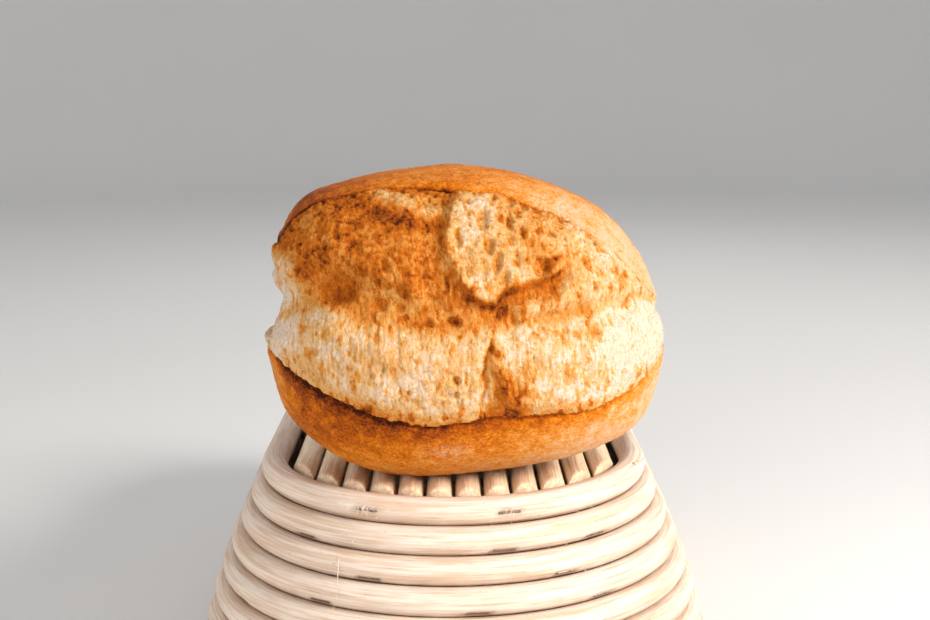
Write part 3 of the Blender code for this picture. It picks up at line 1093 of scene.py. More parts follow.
    def holes(self, x: Values, z: Values, points: Points, share: Values) -> tuple[Values, Values]:
        """Named pits and the fields of small pores.

        Args:
            x: nearly straight places along.
            z: nearly straight places up.
            points: places for noise.
            share: share of the way up the burst.

        Returns:
            The depth, and how much painted shade each place in a hole gets.
        """
        depth = np.zeros(len(x))
        hole = np.zeros(len(x))
        for pit in PITS:
            inward = pit.share(x, z)
            bowl = np.sqrt(np.clip(1 - (1 - np.clip(inward, 0, 1)) ** 2, 0, 1))
            soft = 0.55 if pit.is_hollow else 0.22
            depth = np.maximum(depth, 0.72 * pit.depth * bowl * smooth(-0.02, soft, inward))
            depth -= 0.07 * soft_line(inward + 0.16, 0.12)
            # Painted shade: each pit's floor is made darker.
            hole = np.maximum(hole, smooth(0.0, 0.5, inward) * pit.floor_shade)
        grainy = smooth(-4.0, -9.0, x) * smooth(9.0, 13.0, z)
        top_strip = smooth(0.78, 0.93, share)
        airy = smooth(-5.0, -2.0, x) * smooth(28.0, 24.0, x) * smooth(9.0, 13.0, z)
        for size, strength, field_share in (
            (1.7, 0.40, 0.35 * grainy + 0.22),
            (3.0, 0.8, 0.5 * airy + 0.06 * grainy + 0.08),
            (1.5, 1.0, 0.9 * top_strip),
        ):
            stretched = points * np.array([1.0, 0.6, 0.62])
            away, number = Noise.cells(stretched, size, int(size * 10))
            open_cell = number < field_share
            radius = 0.24 + 0.2 * number
            pore = smooth(radius + 0.1, radius - 0.12, away) * open_cell
            depth = np.maximum(depth, strength * (0.45 + 0.5 * number) * pore)
            # Painted shade: the pores are made darker.
            hole = np.maximum(hole, 0.42 * pore)
        return depth, hole

    def fibres(self, points: Points, x: Values, z: Values) -> tuple[Values, Values]:
        """Torn strands of gluten, mostly upright, and a twisted cord right of the seam.

        Args:
            points: places for noise.
            x: bent places along.
            z: bent places up.

        Returns:
            The relief and the change of bake.
        """
        upright = points * np.array([1.0, 1.0, 0.22])
        ridge = 1 - 2.2 * np.abs(Noise.soft(upright, 1.15, 31))
        fine = 1 - 2.2 * np.abs(Noise.soft(upright, 0.62, 32))
        tangle = 1 - 2.2 * np.abs(Noise.soft(points * np.array([1.0, 1.0, 0.6]), 1.0, 33))
        upper = smooth(6.0, 14.0, z)
        relief = (1 - upper) * (0.26 * ridge + 0.17 * fine) + upper * (0.14 * ridge + 0.28 * tangle)
        relief *= 1 - 0.85 * self.calm(x, z)
        bake = -0.05 * ridge * (1 - upper) - 0.06 * tangle * upper
        near = distance_to_path(x, z, CORD_ROUTE)
        cord = smooth(2.4, 0.4, near) * smooth(3.0, -6.0, z)
        twist = np.sin((z * 1.7 + x * 1.1) * 1.6)
        relief += cord * (0.5 + 0.2 * twist)
        bake += 0.26 * smooth(3.6, 1.0, near) * smooth(0.0, -9.0, z) * (0.8 + 0.2 * twist)
        seam = soft_line(x - 5.6 - 0.15 * (z + 8), 0.6) * smooth(5.0, 1.0, z)
        relief -= 0.9 * seam
        bake += 0.36 * seam
        return relief, bake

    def crumb_stains_shade_and_light(self, points: Points, x: Values, z: Values, in_top: Values, in_bottom: Values) -> Values:
        """Where the oven has coloured the crumb, at its edges and in flecks, with painted shade in hollows and
        painted light at the lower right end.

        Args:
            points: places for noise.
            x: bent places along.
            z: bent places up.
            in_top: distance in from the upper lip.
            in_bottom: distance in from the lower lip.

        Returns:
            The change of bake.
        """
        stain = 0.14 * Noise.rough(points, 7.0, 3, 41)
        fleck = smooth(0.22, 0.55, Noise.rough(points * np.array([1.0, 1.0, 0.55]), 2.1, 3, 42))
        stain += 0.26 * fleck * (1 - 0.9 * self.calm(x, z))
        # Painted shade in the bowl and the soft hollow, and one small dark spot.
        for strength, middle, size in SPOTS_AND_HOLLOW_SHADE:
            stain += strength * soft_spot(x, z, middle, size)
        stain += (0.26 + 0.16 * fleck) * smooth(5.4, 1.6, in_bottom) * smooth(-48.0, -24.0, x)
        stain += 0.18 * smooth(5.0, 0.5, in_top) * smooth(46.0, 22.0, x)
        under_lip = 1.0 + 1.6 * smooth(-12.0, -36.0, x)
        stain += 0.35 * smooth(1.0, 0.2, in_top / under_lip) * smooth(40.0, 18.0, x)
        stain += self.middle_stains(x, z)
        stain += 0.32 * smooth(-0.8, 1.6, CORD_FAN.depth_inside(x, z)) * (0.7 + 0.5 * fleck)
        pale_left = smooth(-42.0, -48.0, x) * smooth(24.0, 18.0, z) * smooth(-6.0, -1.0, z)
        # Painted light: the lower right end of the crumb is made paler, as if lit by the key lamp on the right.
        painted_light_right = smooth(30.0, 46.0, x) * smooth(12.0, 5.0, z)
        return stain - (0.26 + 0.18 * smooth(5.0, 10.0, z)) * pale_left - 0.30 * painted_light_right

    @staticmethod
    def middle_stains(x: Values, z: Values) -> Values:
        """The darker foot of the upper middle lump, and its paler top.

        Args:
            x: bent places along.
            z: bent places up.

        Returns:
            The change of bake.
        """
        depth = UPPER_MIDDLE.depth_inside(x, z)
        low_side = smooth(23.0, 17.0, z) * smooth(-3.0, 3.0, x)
        stain = 0.32 * smooth(2.7, 0.8, depth) * smooth(-0.9, 0.3, depth) * low_side
        stain += 0.12 * smooth(-6.0, -0.5, depth) * smooth(0.2, -0.6, depth) * low_side
        return stain - 0.12 * smooth(1.5, 4.0, depth) * smooth(14.0, 6.0, x)

    def crust(self, points: Points, in_top: Values, in_bottom: Values) -> tuple[Values, Values]:
        """The baked skin outside the burst.

        Args:
            points: places of the plain loaf.
            in_top: distance in from the upper lip.
            in_bottom: distance in from the lower lip.

        Returns:
            The relief and the bake.
        """
        x, q, z = points.T
        relief = 0.22 * Noise.soft(points, 9.0, 51) + 0.12 * Noise.rough(points, 2.2, 3, 52)
        away, number = Noise.cells(points, 1.7, 53)
        relief += 0.13 * smooth(0.42, 0.1, away) * (number < 0.4)
        relief += 0.55 * soft_line(in_top + 1.6, 1.9) * (1 - 0.7 * smooth(24.0, 44.0, x))
        relief += 0.3 * soft_line(in_bottom + 3.2, 2.0) - 0.55 * soft_line(in_bottom + 0.2, 0.7)
        below = -in_bottom
        front = smooth(-6.0, 10.0, q)
        left = smooth(10.0, -40.0, x)
        right = smooth(5.0, 42.0, x)
        end = smooth(-54.0, -48.0, x)
        band = smooth(8.5, 0.4, below) ** 1.5 * smooth(-2.0, 0.3, below) * front * end
        rim = smooth(1.8, 0.2, below) * smooth(-2.0, 0.0, below) * front * end
        is_upper = smooth(0.0, 14.0, z) * smooth(34.0, 4.0, np.abs(in_top))
        bake = 0.42 + 0.06 * Noise.rough(points, 16.0, 3, 54) + 0.04 * Noise.rough(points, 3.0, 3, 55)
        # Painted shade and light: the crust is made darker towards the left and paler towards the right, where the
        # key lamp falls.
        bake += (0.30 + 0.05 * left - 0.12 * right) * band * smooth(60.0, 44.0, x)
        bake += 0.17 * rim * smooth(56.0, 40.0, x)
        bake += front * (1 - is_upper) * (0.20 * smooth(0.0, -36.0, x) * smooth(-36.0, -26.0, z) - 0.30 * right)
        bake += is_upper * (0.28 * smooth(-12.0, -44.0, x) - 0.36 * smooth(-4.0, 34.0, x))
        width = 0.6 + 1.0 * smooth(-12.0, -36.0, x)
        seam = soft_line(in_top + 0.1, width) * smooth(42.0, 18.0, x)
        bake += (0.34 + 0.2 * smooth(0.0, -30.0, x)) * seam
        bake -= 0.34 * smooth(-43.0, -53.0, x) * np.maximum(is_upper, smooth(-1.0, 3.0, below) * front)
        bake -= 0.12 * smooth(-30.0, -42.0, z) + 0.07 * smooth(-20.0, 10.0, x) * smooth(-22.0, -32.0, z) * front
        bake += 0.12 * smooth(-14.0, -24.0, q)
        return relief, bake

    @staticmethod
    def flour(points: Points, torn: Values) -> Values:
        """Where flour clings: a patch under the burst and the base of the loaf.

        Args:
            points: places of the plain loaf.
            torn: where the crumb is open.

        Returns:
            How floury it is.
        """
        x, q, z = points.T
        cloud = smooth(0.1, 0.5, Noise.rough(points, 9.0, 3, 61))
        patch = soft_spot(x, z, (-4, -31), (5, 2.5))
        under = smooth(-15.0, -25.0, q)
        behind = smooth(2.0, -12.0, q)
        return np.clip((0.06 * cloud * behind + 0.4 * patch + 0.45 * under * cloud) * (1 - torn), 0.0, 1.0)

    def build(self) -> bpy.types.Object:
        """Make the roll where the model's roll stands.

        Returns:
            The roll.
        """
        way = self.directions()
        plain = way * self.plain_reach(way)[:, None]
        height, lean = self.sculpt(plain)
        outward = self.outward(plain)
        shaped = plain + outward * height[:, None]
        shaped[:, 2] -= lean
        shaped[:, 2] = np.maximum(shaped[:, 2], -self.foot_below_middle)
        low, high = (Vector(corner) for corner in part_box(self.node))
        back = high.y / MM
        world = np.stack([shaped[:, 0] + self.middle_x, back - self.base - shaped[:, 1], shaped[:, 2]], axis=1) * MM
        world[:, 2] += low.z + self.foot_below_middle * MM
        made = Builder.piece("roll", world, self.faces(), "bread")
        for name, values in self.paints.items():
            Builder.paint(made, name, values)
        Builder.lay_out(made, self.flat_places)
        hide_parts(self.node)
        return made

    def outward(self, plain: Points) -> Points:
        """Outward direction of the plain loaf at each point, from its neighbours on the grid."""
        grid = plain[1:-1].reshape(self.rings - 1, self.rounds, 3)
        round_way = np.roll(grid, -1, axis=1) - np.roll(grid, 1, axis=1)
        long_way = np.gradient(grid, axis=0)
        facing = np.cross(round_way, long_way).reshape(-1, 3)
        facing /= np.linalg.norm(facing, axis=1)[:, None]
        if np.sum(facing * plain[1:-1]) < 0:
            facing = -facing
        return np.vstack([[-1.0, 0.0, 0.0], facing, [1.0, 0.0, 0.0]])

    def flat_places(self, corners: np.ndarray) -> np.ndarray:
        """Flat places of the roll's face corners: along by around.

        Args:
            corners: (face, corner) number pairs.

        Returns:
            Flat places from 0 to 1.
        """
        face, corner = corners.T
        quads = (self.rings - 2) * self.rounds
        row, step = face // self.rounds, face % self.rounds
        along = row + 1 + np.isin(corner, (1, 2))
        around = step + np.isin(corner, (2, 3))
        fan = face >= quads
        number = (face - quads) // 2
        is_left = (face - quads) % 2 == 0
        fan_along = np.where(is_left, np.where(corner == 0, 0, 1), np.where(corner == 0, self.rings, self.rings - 1))
        fan_step = np.where(corner == 0, 0.5, np.where((corner == 2) == is_left, 1.0, 0.0))
        along = np.where(fan, fan_along, along)
        around = np.where(fan, number + fan_step, around)
        return np.stack([0.005 + 0.99 * along / self.rings, 0.005 + 0.99 * around / self.rounds], axis=1)


# ---- the basket --------------------------------------------------------------------------------


@dataclass
class CaneTube:
    """A length of cane along a route, with slight unevenness, and its straightened grain."""

    name: str
    node: str
    slot: str
    sides: int
    strips: int
    seed: int

    def build(
        self, middles: Points, outs: Points, ups: Points, half: Values, pressed: Values, limits: np.ndarray
    ) -> bpy.types.Object:
        """Make the tube.

        Args:
            middles: middle of each cross-section.
            outs: direction away from the basket's inside at each.
            ups: direction along the wall at each, towards the rim.
            half: half thickness of each cross-section.
            pressed: how far each point is pressed in, one row a cross-section.
            limits: lowest and highest place along ups that each cross-section may reach.

        Returns:
            The object.
        """
        count, sides = len(middles), self.sides
        angle = ring_angles(sides)
        run = np.concatenate([[0.0], np.cumsum(np.linalg.norm(np.diff(middles, axis=0), axis=1))])
        ring = np.stack([np.cos(angle), np.sin(angle)], axis=1)
        size = float(np.mean(half))
        straight = np.zeros((count, sides, 3))
        straight[..., 0] = run[:, None]
        straight[..., 1:] = ring[None] * size
        flat = straight.reshape(-1, 3)
        uneven = 0.00005 * Noise.soft(flat * np.array([0.12, 1.0, 1.0]), 0.0035, self.seed)
        uneven += 0.00004 * Noise.soft(flat * np.array([0.25, 1.0, 1.0]), 0.0012, self.seed + 1)
        reach = half[:, None] + uneven.reshape(count, sides) - pressed
        across = reach * ring[None, :, 0]
        along = np.clip(reach * ring[None, :, 1], limits[:, :1], limits[:, 1:])
        points = middles[:, None] + outs[:, None] * across[..., None] + ups[:, None] * along[..., None]
        made = Builder.piece(self.name, *self.closed(points), self.slot)
        grain = np.vstack([flat + self.seed * 0.37, [[0.0, 0.0, 0.0]] * 2])
        grain[-2:] = [[self.seed * 0.37] * 3, [run[-1] + self.seed * 0.37, self.seed * 0.37, self.seed * 0.37]]
        Builder.paint(made, "grain", grain)
        Builder.lay_out(made, lambda corners: self.flat_places(corners, count))
        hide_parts(self.node)
        return made

    def closed(self, points: np.ndarray) -> tuple[Points, list[Face]]:
        """Points and faces of the tube with a fan on each end.

        Args:
            points: grid of points, a row for each cross-section.

        Returns:
            All points and all faces.
        """
        count, sides = points.shape[:2]
        faces = ring_faces(count, sides, turned=True)
        first, last = count * sides, count * sides + 1
        for side in range(sides):
            beside = (side + 1) % sides
            faces.append((first, beside, side))
            faces.append((last, (count - 1) * sides + side, (count - 1) * sides + beside))
        ends = [points[0].mean(axis=0), points[-1].mean(axis=0)]
        if self.points_inward(points):
            faces = [tuple(reversed(face)) for face in faces]
        return np.vstack([points.reshape(-1, 3), ends]), faces

    @staticmethod
    def points_inward(points: np.ndarray) -> bool:
        """Whether faces in the plain order would face into the tube."""
        middle = points[0].mean(axis=0)
        side = points[0][1] - points[0][0]
        ahead = points[1][0] - points[0][0]
        return float(np.dot(np.cross(side, ahead), points[0][0] - middle)) < 0

    def flat_places(self, corners: np.ndarray, count: int) -> np.ndarray:
        """Flat places of the tube's face corners, in strips above each other.

        Args:
            corners: (face, corner) number pairs.
            count: how many cross-sections there are.

        Returns:
            Flat places from 0 to 1.
        """
        face, corner = corners.T
        per_strip = math.ceil((count - 1) / self.strips)
        walls = (count - 1) * self.sides
        row, side = face // self.sides, face % self.sides
        strip = np.minimum(row // per_strip, self.strips - 1)
        ahead = np.isin(corner, (2, 3))
        beside = np.isin(corner, (1, 2))
        along = (row - strip * per_strip + ahead) / per_strip
        height = 0.93 / self.strips
        up = strip / (self.strips + 0.5) + height * (side + beside) / self.sides
        cap = face >= walls
        turn = ((face - walls) // 2 + (corner == 1)) * 2 * np.pi / self.sides
        reach = np.where(corner == 0, 0.0, 0.4 / (self.strips + 0.5))
        end = (face - walls) % 2
        cap_x = 0.25 + 0.5 * end + reach * np.cos(turn)
        cap_y = 1 - 0.25 / (self.strips + 0.5) + reach * 0.5 * np.sin(turn)
        return np.stack([np.where(cap, cap_x, 0.002 + 0.996 * along), np.where(cap, cap_y, up)], axis=1)


@dataclass
class CoiledWall:
    """The coiled cane wall: an oval wound from base to rim, stepping down on the side at +X."""

    pitch: float = 0.008
    turns: int = 10
    joints: tuple[int, ...] = (3, 6)
    gap: float = 0.0003
    first_radius: float = 0.0546
    half_straight: float = 0.057
    flare_at_base: float = math.radians(25.0)
    scarf: float = 0.3
    station: float = 0.0018
    sides: int = 18
    swell: float = 0.00008
    most_shade: float = 0.95
    end_shade: float = 0.3
    half: float = field(init=False)
    first_height: float = field(init=False)

    def __post_init__(self) -> None:
        """Work out the cane's half thickness and the height of the first turn."""
        self.half = (self.pitch - self.gap) / 2
        self.first_height = self.reach(np.array([self.last_length]))[1][0] + self.half

    @property
    def last_length(self) -> float:
        """Distance down the wall from the first turn to the last."""
        return (self.turns - 1) * self.pitch

    def flare(self, length: Values) -> Values:
        """Angle of the wall from upright, at a distance down it."""
        return self.flare_at_base * (1 - np.clip(length / self.last_length, 0.0, 1.0) ** 2)

    def reach(self, length: Values) -> tuple[Values, Values]:
        """How far the wall has gone out and down at that distance."""
        fine = np.linspace(-self.pitch, self.last_length + self.pitch, 2001)
        angle = self.flare(fine)
        step = fine[1] - fine[0]
        out = np.concatenate([[0.0], np.cumsum((np.sin(angle[1:]) + np.sin(angle[:-1])) / 2 * step)])
        down = np.concatenate([[0.0], np.cumsum((np.cos(angle[1:]) + np.cos(angle[:-1])) / 2 * step)])
        out -= np.interp(0.0, fine, out)
        down -= np.interp(0.0, fine, down)
        return np.interp(length, fine, out), np.interp(length, fine, down)

    def route(self) -> list[tuple[Values, Values, Values]]:
        """Plan of each length of cane, as (angle or place, wall length, kind) rows.

        Returns:
            For each length of cane: the part of the oval each station is on, how far along that
            part, and its distance down the wall.
        """
        made: list[tuple[Values, Values, Values]] = []
        rows: list[tuple[int, float, float]] = []

        def straight(part: int, start: float, end: float, lengths: Callable[[Values], Values]) -> None:
            """Add stations along a straight side."""
            count = max(2, int(abs(end - start) * 2 * self.half_straight / self.station))
            share = np.linspace(start, end, count + 1)
            rows.extend(zip([part] * len(share), share, lengths(share)))

        def arc(part: int, length: float) -> None:
            """Add stations along a half circle."""
            radius = self.first_radius + self.reach(np.array([length]))[0][0]
            count = int(math.pi * radius / self.station)
            share = np.linspace(0.0, 1.0, count + 1)[1:-1]
            rows.extend(zip([part] * len(share), share, [length] * len(share)))

        def step_down(turn: int) -> Callable[[Values], Values]:
            """Distance down the wall along the step before a turn."""
            return lambda share: (turn - 1 + share * share * (3 - 2 * share)) * self.pitch

        def level(turn: int) -> Callable[[Values], Values]:
            """Distance down the wall along a level part of a turn."""
            return lambda share: turn * self.pitch + 0 * share

        straight(0, self.scarf, 1.0, step_down(0))
        for turn in range(self.turns):
            arc(1, turn * self.pitch)
            middle = 0.5 - self.gap / 4 / self.half_straight
            if turn in self.joints:
                straight(2, 0.0, middle, level(turn))
                made.append(tuple(np.array(column) for column in zip(*rows)))
                rows = []
                straight(2, 1 - middle, 1.0, level(turn))
            else:
                straight(2, 0.0, 1.0, level(turn))
            arc(3, turn * self.pitch)
            last = 1 - self.scarf if turn == self.turns - 1 else 1.0
            straight(0, 0.0, last, step_down(turn + 1))
        made.append(tuple(np.array(column) for column in zip(*rows)))
        return made

    def stations(self, part: Values, share: Values, length: Values) -> tuple[Points, Points, Points]:
        """Middles and directions of the cross-sections along a route.

        Args:
            part: 0 the side at +X, 1 the front end, 2 the side at -X, 3 the back end.
            share: how far along that part.
            length: distance down the wall.

        Returns:
            Middles, outward directions and directions towards the rim.
        """
        out, down = self.reach(length)
        radius = self.first_radius + out
        turn = np.select(
            [part == 0, part == 1, part == 2, part == 3],
            [0 * share, -np.pi * share, 0 * share + np.pi, np.pi - np.pi * share],
        )
        heading = np.stack([np.cos(turn), np.sin(turn)], axis=1)
        side = np.select(
            [part == 0, part == 1, part == 2, part == 3],
            [1 - 2 * share, -1 + 0 * share, 2 * share - 1, 1 + 0 * share],
        )
        plan = heading * radius[:, None] + np.stack([0 * side, side * self.half_straight], axis=1)
        angle = self.flare(length)
        middles = np.column_stack([plan, self.first_height - down])
        outs = np.column_stack([heading * np.cos(angle)[:, None], np.sin(angle)])
        rims = np.column_stack([heading * np.sin(angle)[:, None], -np.cos(angle)])
        return middles, outs, rims

    def build(self, staples: "Staples") -> list[bpy.types.Object]:
        """Make the lengths of cane.

        Args:
            staples: what is pressed into the cane.

        Returns:
            The canes, from the base to the rim.
        """
        made = []
        for number, (part, share, length) in enumerate(self.route(), 1):
            middles, outs, rims = self.stations(part, share, length)
            tube = CaneTube(f"cane_{number}", f"wall_cane_{number}", "cane", self.sides, 10, 70 + number)
            drift = 0.00004 * Noise.soft(middles, 0.03, 80 + number)
            half = self.half + self.swell + drift
            angle = ring_angles(self.sides)[None, :, None]
            ring = outs[:, None] * np.cos(angle) + rims[:, None] * np.sin(angle)
            surface = (middles[:, None] + ring * self.half).reshape(-1, 3)
            pressed, stain = staples.dents(surface)
            pressed = pressed.reshape(len(middles), self.sides)
            planed = np.stack([-self.half - length, self.last_length + self.half - length], axis=1)
            piece = tube.build(middles, outs, rims, half, pressed, planed)
            # Painted shade from shading(), plus the staples' stain.
            shade = np.clip(self.shading(surface) + stain, 0.0, self.most_shade)
            Builder.paint(piece, "shade", np.concatenate([shade, [self.end_shade] * 2]))
            made.append(piece)
        return made

    def shading(self, surface: Points) -> Values:
        """Painted shade on each point of a cane: darker between the turns, on its rim side, which faces down, and on
        the side inside the basket.
        """
        angle = ring_angles(self.sides)
        between = 0.30 * np.abs(np.sin(angle)) ** 6
        rim_side_shade = 0.34 * np.clip(np.sin(angle), 0.0, 1.0) ** 1.4
        inside = 0.2 * (np.cos(angle) < -0.3)
        shade = np.tile(between + rim_side_shade + inside, len(surface) // self.sides)
        return shade * (0.75 + 0.5 * Noise.soft(surface, 0.006, 90))


@dataclass
class RodBase:
    """The rods that make the flat base."""

    count: int = 12
    sides: int = 22
    station: float = 0.0025
    chamfer: float = 0.00035
    most_shade: float = 0.9
    end_shade: float = 0.25

    def build(self, wall: CoiledWall) -> list[bpy.types.Object]:
        """Make the rods.

        Args:
            wall: the wall that the rods' ends are cut to.

        Returns:
            The rods, from -X to +X.
        """
        made = []
        end_radius = wall.first_radius - wall.half - wall.gap
        for number in range(1, self.count + 1):
            node = f"base_rod_{number:02d}"
            low, high = (Vector(corner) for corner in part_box(node))
            half = (high.x - low.x) / 2
            across, height = (low.x + high.x) / 2, (low.z + high.z) / 2
            made.append(self.rod(number, node, across, height, half, end_radius, wall.half_straight))
        return made

    def rod(
        self, number: int, node: str, across: float, height: float, half: float, end_radius: float, straight: float
    ) -> bpy.types.Object:
        """Make one rod, cut at both ends to the round of the first turn.

        Args:
            number: its number.
            node: the node that it stands for.
            across: its place across the basket.
            height: height of its middle.
            half: its half thickness.
            end_radius: radius that its ends are cut to.
            straight: half length of the basket's straight sides.

        Returns:
            The rod.
        """
        angle = ring_angles(self.sides)
        length = straight + math.sqrt(end_radius**2 - across**2)
        count = int(2 * length / self.station)
        share = np.linspace(-1.0, 1.0, count + 1)
        edge = 1 - self.chamfer / length
        share = np.concatenate([[-1.0], share[1:-1] * edge**2, [1.0]])
        share = np.insert(share, [1, len(share) - 1], [-edge, edge])
        middles = np.column_stack([across + 0 * share, share * length, height + 0 * share])
        bend = 0.00012 * Noise.soft(middles, 0.05, 100 + number)
        middles[:, 2] += np.minimum(bend, 0.0)
        outs = np.tile([1.0, 0.0, 0.0], (len(share), 1))
        ups = np.tile([0.0, 0.0, 1.0], (len(share), 1))
        halves = np.full(len(share), half) - 0.00005 + 0.00006 * Noise.soft(middles, 0.02, 130 + number)
        halves[[0, -1]] -= self.chamfer
        tube = CaneTube(f"rod_{number:02d}", node, "rod", self.sides, 3, 150 + number)
        free = np.tile([-1.0, 1.0], (len(share), 1))
        piece = tube.build(middles, outs, ups, halves, np.zeros((len(share), self.sides)), free)
        self.cut_ends(piece, across, half, end_radius, straight, length)
        # Painted shade: darker on the sides that face the neighbouring rods, on the underside and near the ends
        # where the rods meet the wall.
        low_side = np.clip(-np.sin(angle), 0.0, 1.0)
        shade = np.tile(0.28 * np.abs(np.cos(angle)) ** 5 + 0.2 * low_side, len(share))
        shade_by_ends = smooth(0.006, 0.0, length * (1 - np.abs(np.repeat(share, self.sides))))
        shade = np.clip(shade + 0.12 * shade_by_ends, 0.0, self.most_shade)
        Builder.paint(piece, "shade", np.concatenate([shade, [self.end_shade] * 2]))
        return piece

    @staticmethod
    def cut_ends(
        piece: bpy.types.Object, across: float, half: float, end_radius: float, straight: float, length: float
    ) -> None:
        """Slide each point along the rod so that the ends follow the round of the first turn.

        Args:
            piece: the rod.
            across: its place across the basket.
            half: its half thickness.
            end_radius: radius that its ends are cut to.
            straight: half length of the basket's straight sides.
            length: half length of the rod at its middle.
        """
        points = np.empty(len(piece.data.vertices) * 3)
        piece.data.vertices.foreach_get("co", points)
        points = points.reshape(-1, 3)
        reach = straight + np.sqrt(np.maximum(end_radius**2 - points[:, 0] ** 2, 0.0))
        points[:, 1] *= 1 + (reach / length - 1) * smooth(0.6, 1.0, np.abs(points[:, 1]) / length)
        piece.data.vertices.foreach_set("co", points.ravel())
        piece.data.update()


@dataclass
class Staples:
    """The wire staples: the model's own solids, in a duller metal, and their dents in the cane."""

    dent: float = 0.00055
    around: float = 0.0011
    crowns: list[tuple[Points, Points]] = field(default_factory=list)

    def find(self) -> None:
        """Read where each staple's crown lies: the side of its wire box away from the legs."""
        for name in sorted(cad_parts):
            if not name.startswith("staple_"):
                continue
            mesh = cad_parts[name].data
            points = np.array([vertex.co[:] for vertex in mesh.vertices])
            middle = points.mean(axis=0)
            spread = points - middle
            axes = np.linalg.svd(spread, full_matrices=False)[2]
            leg_way = axes[0]
            sides = spread @ leg_way
            outward = 1.0 if self.is_outside(points[sides > np.percentile(sides, 80)], middle) else -1.0
            far = sides * outward > (sides * outward).max() - 0.0009
            crown = points[far]
            ways = spread @ axes[1]
            ends = crown[np.argmin(ways[far])], crown[np.argmax(ways[far])]
            self.crowns.append(ends)

    @staticmethod
    def is_outside(points: Points, middle: Points) -> bool:
        """Whether some points are farther out or lower than the middle, as a crown is."""
        out = np.hypot(points[:, 0], points[:, 1]).mean() - math.hypot(middle[0], middle[1])
        down = middle[2] - points[:, 2].mean()
        return out + down > 0

    def dents(self, surface: Points) -> tuple[Values, Values]:
        """How far the crowns press the cane in, and the stain around them.

        Args:
            surface: points of the cane.

        Returns:
            The depth in metres and the stain from 0 to 1.
        """
        depth = np.zeros(len(surface))
        stain = np.zeros(len(surface))
        for start, end in self.crowns:
            way = end - start
            t = np.clip((surface - start) @ way / (way @ way), 0.0, 1.0)
            near = np.linalg.norm(surface - start - t[:, None] * way, axis=1)
            depth = np.maximum(depth, self.dent * smooth(self.around, 0.0003, near))
            stain = np.maximum(stain, 0.45 * smooth(1.3 * self.around, 0.0004, near))
        return depth, stain

    def dress(self, finish: WireFinish) -> None:
        """Give the model's staples their metal."""
        metal = finish.make()
        for name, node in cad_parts.items():
            if name.startswith("staple_"):
                Builder.dress(node, metal)


SPECKS = ((1, -24, 2.6), (2, -28, 0.5), (2, -26.5, 2.3), (3, -34, -1.6), (1, -21, 3.0), (3, -30, 1.0))
FIBRE = 0.00009
SPECK_SIZE = 0.00028
SPECK_REACH = 3.9


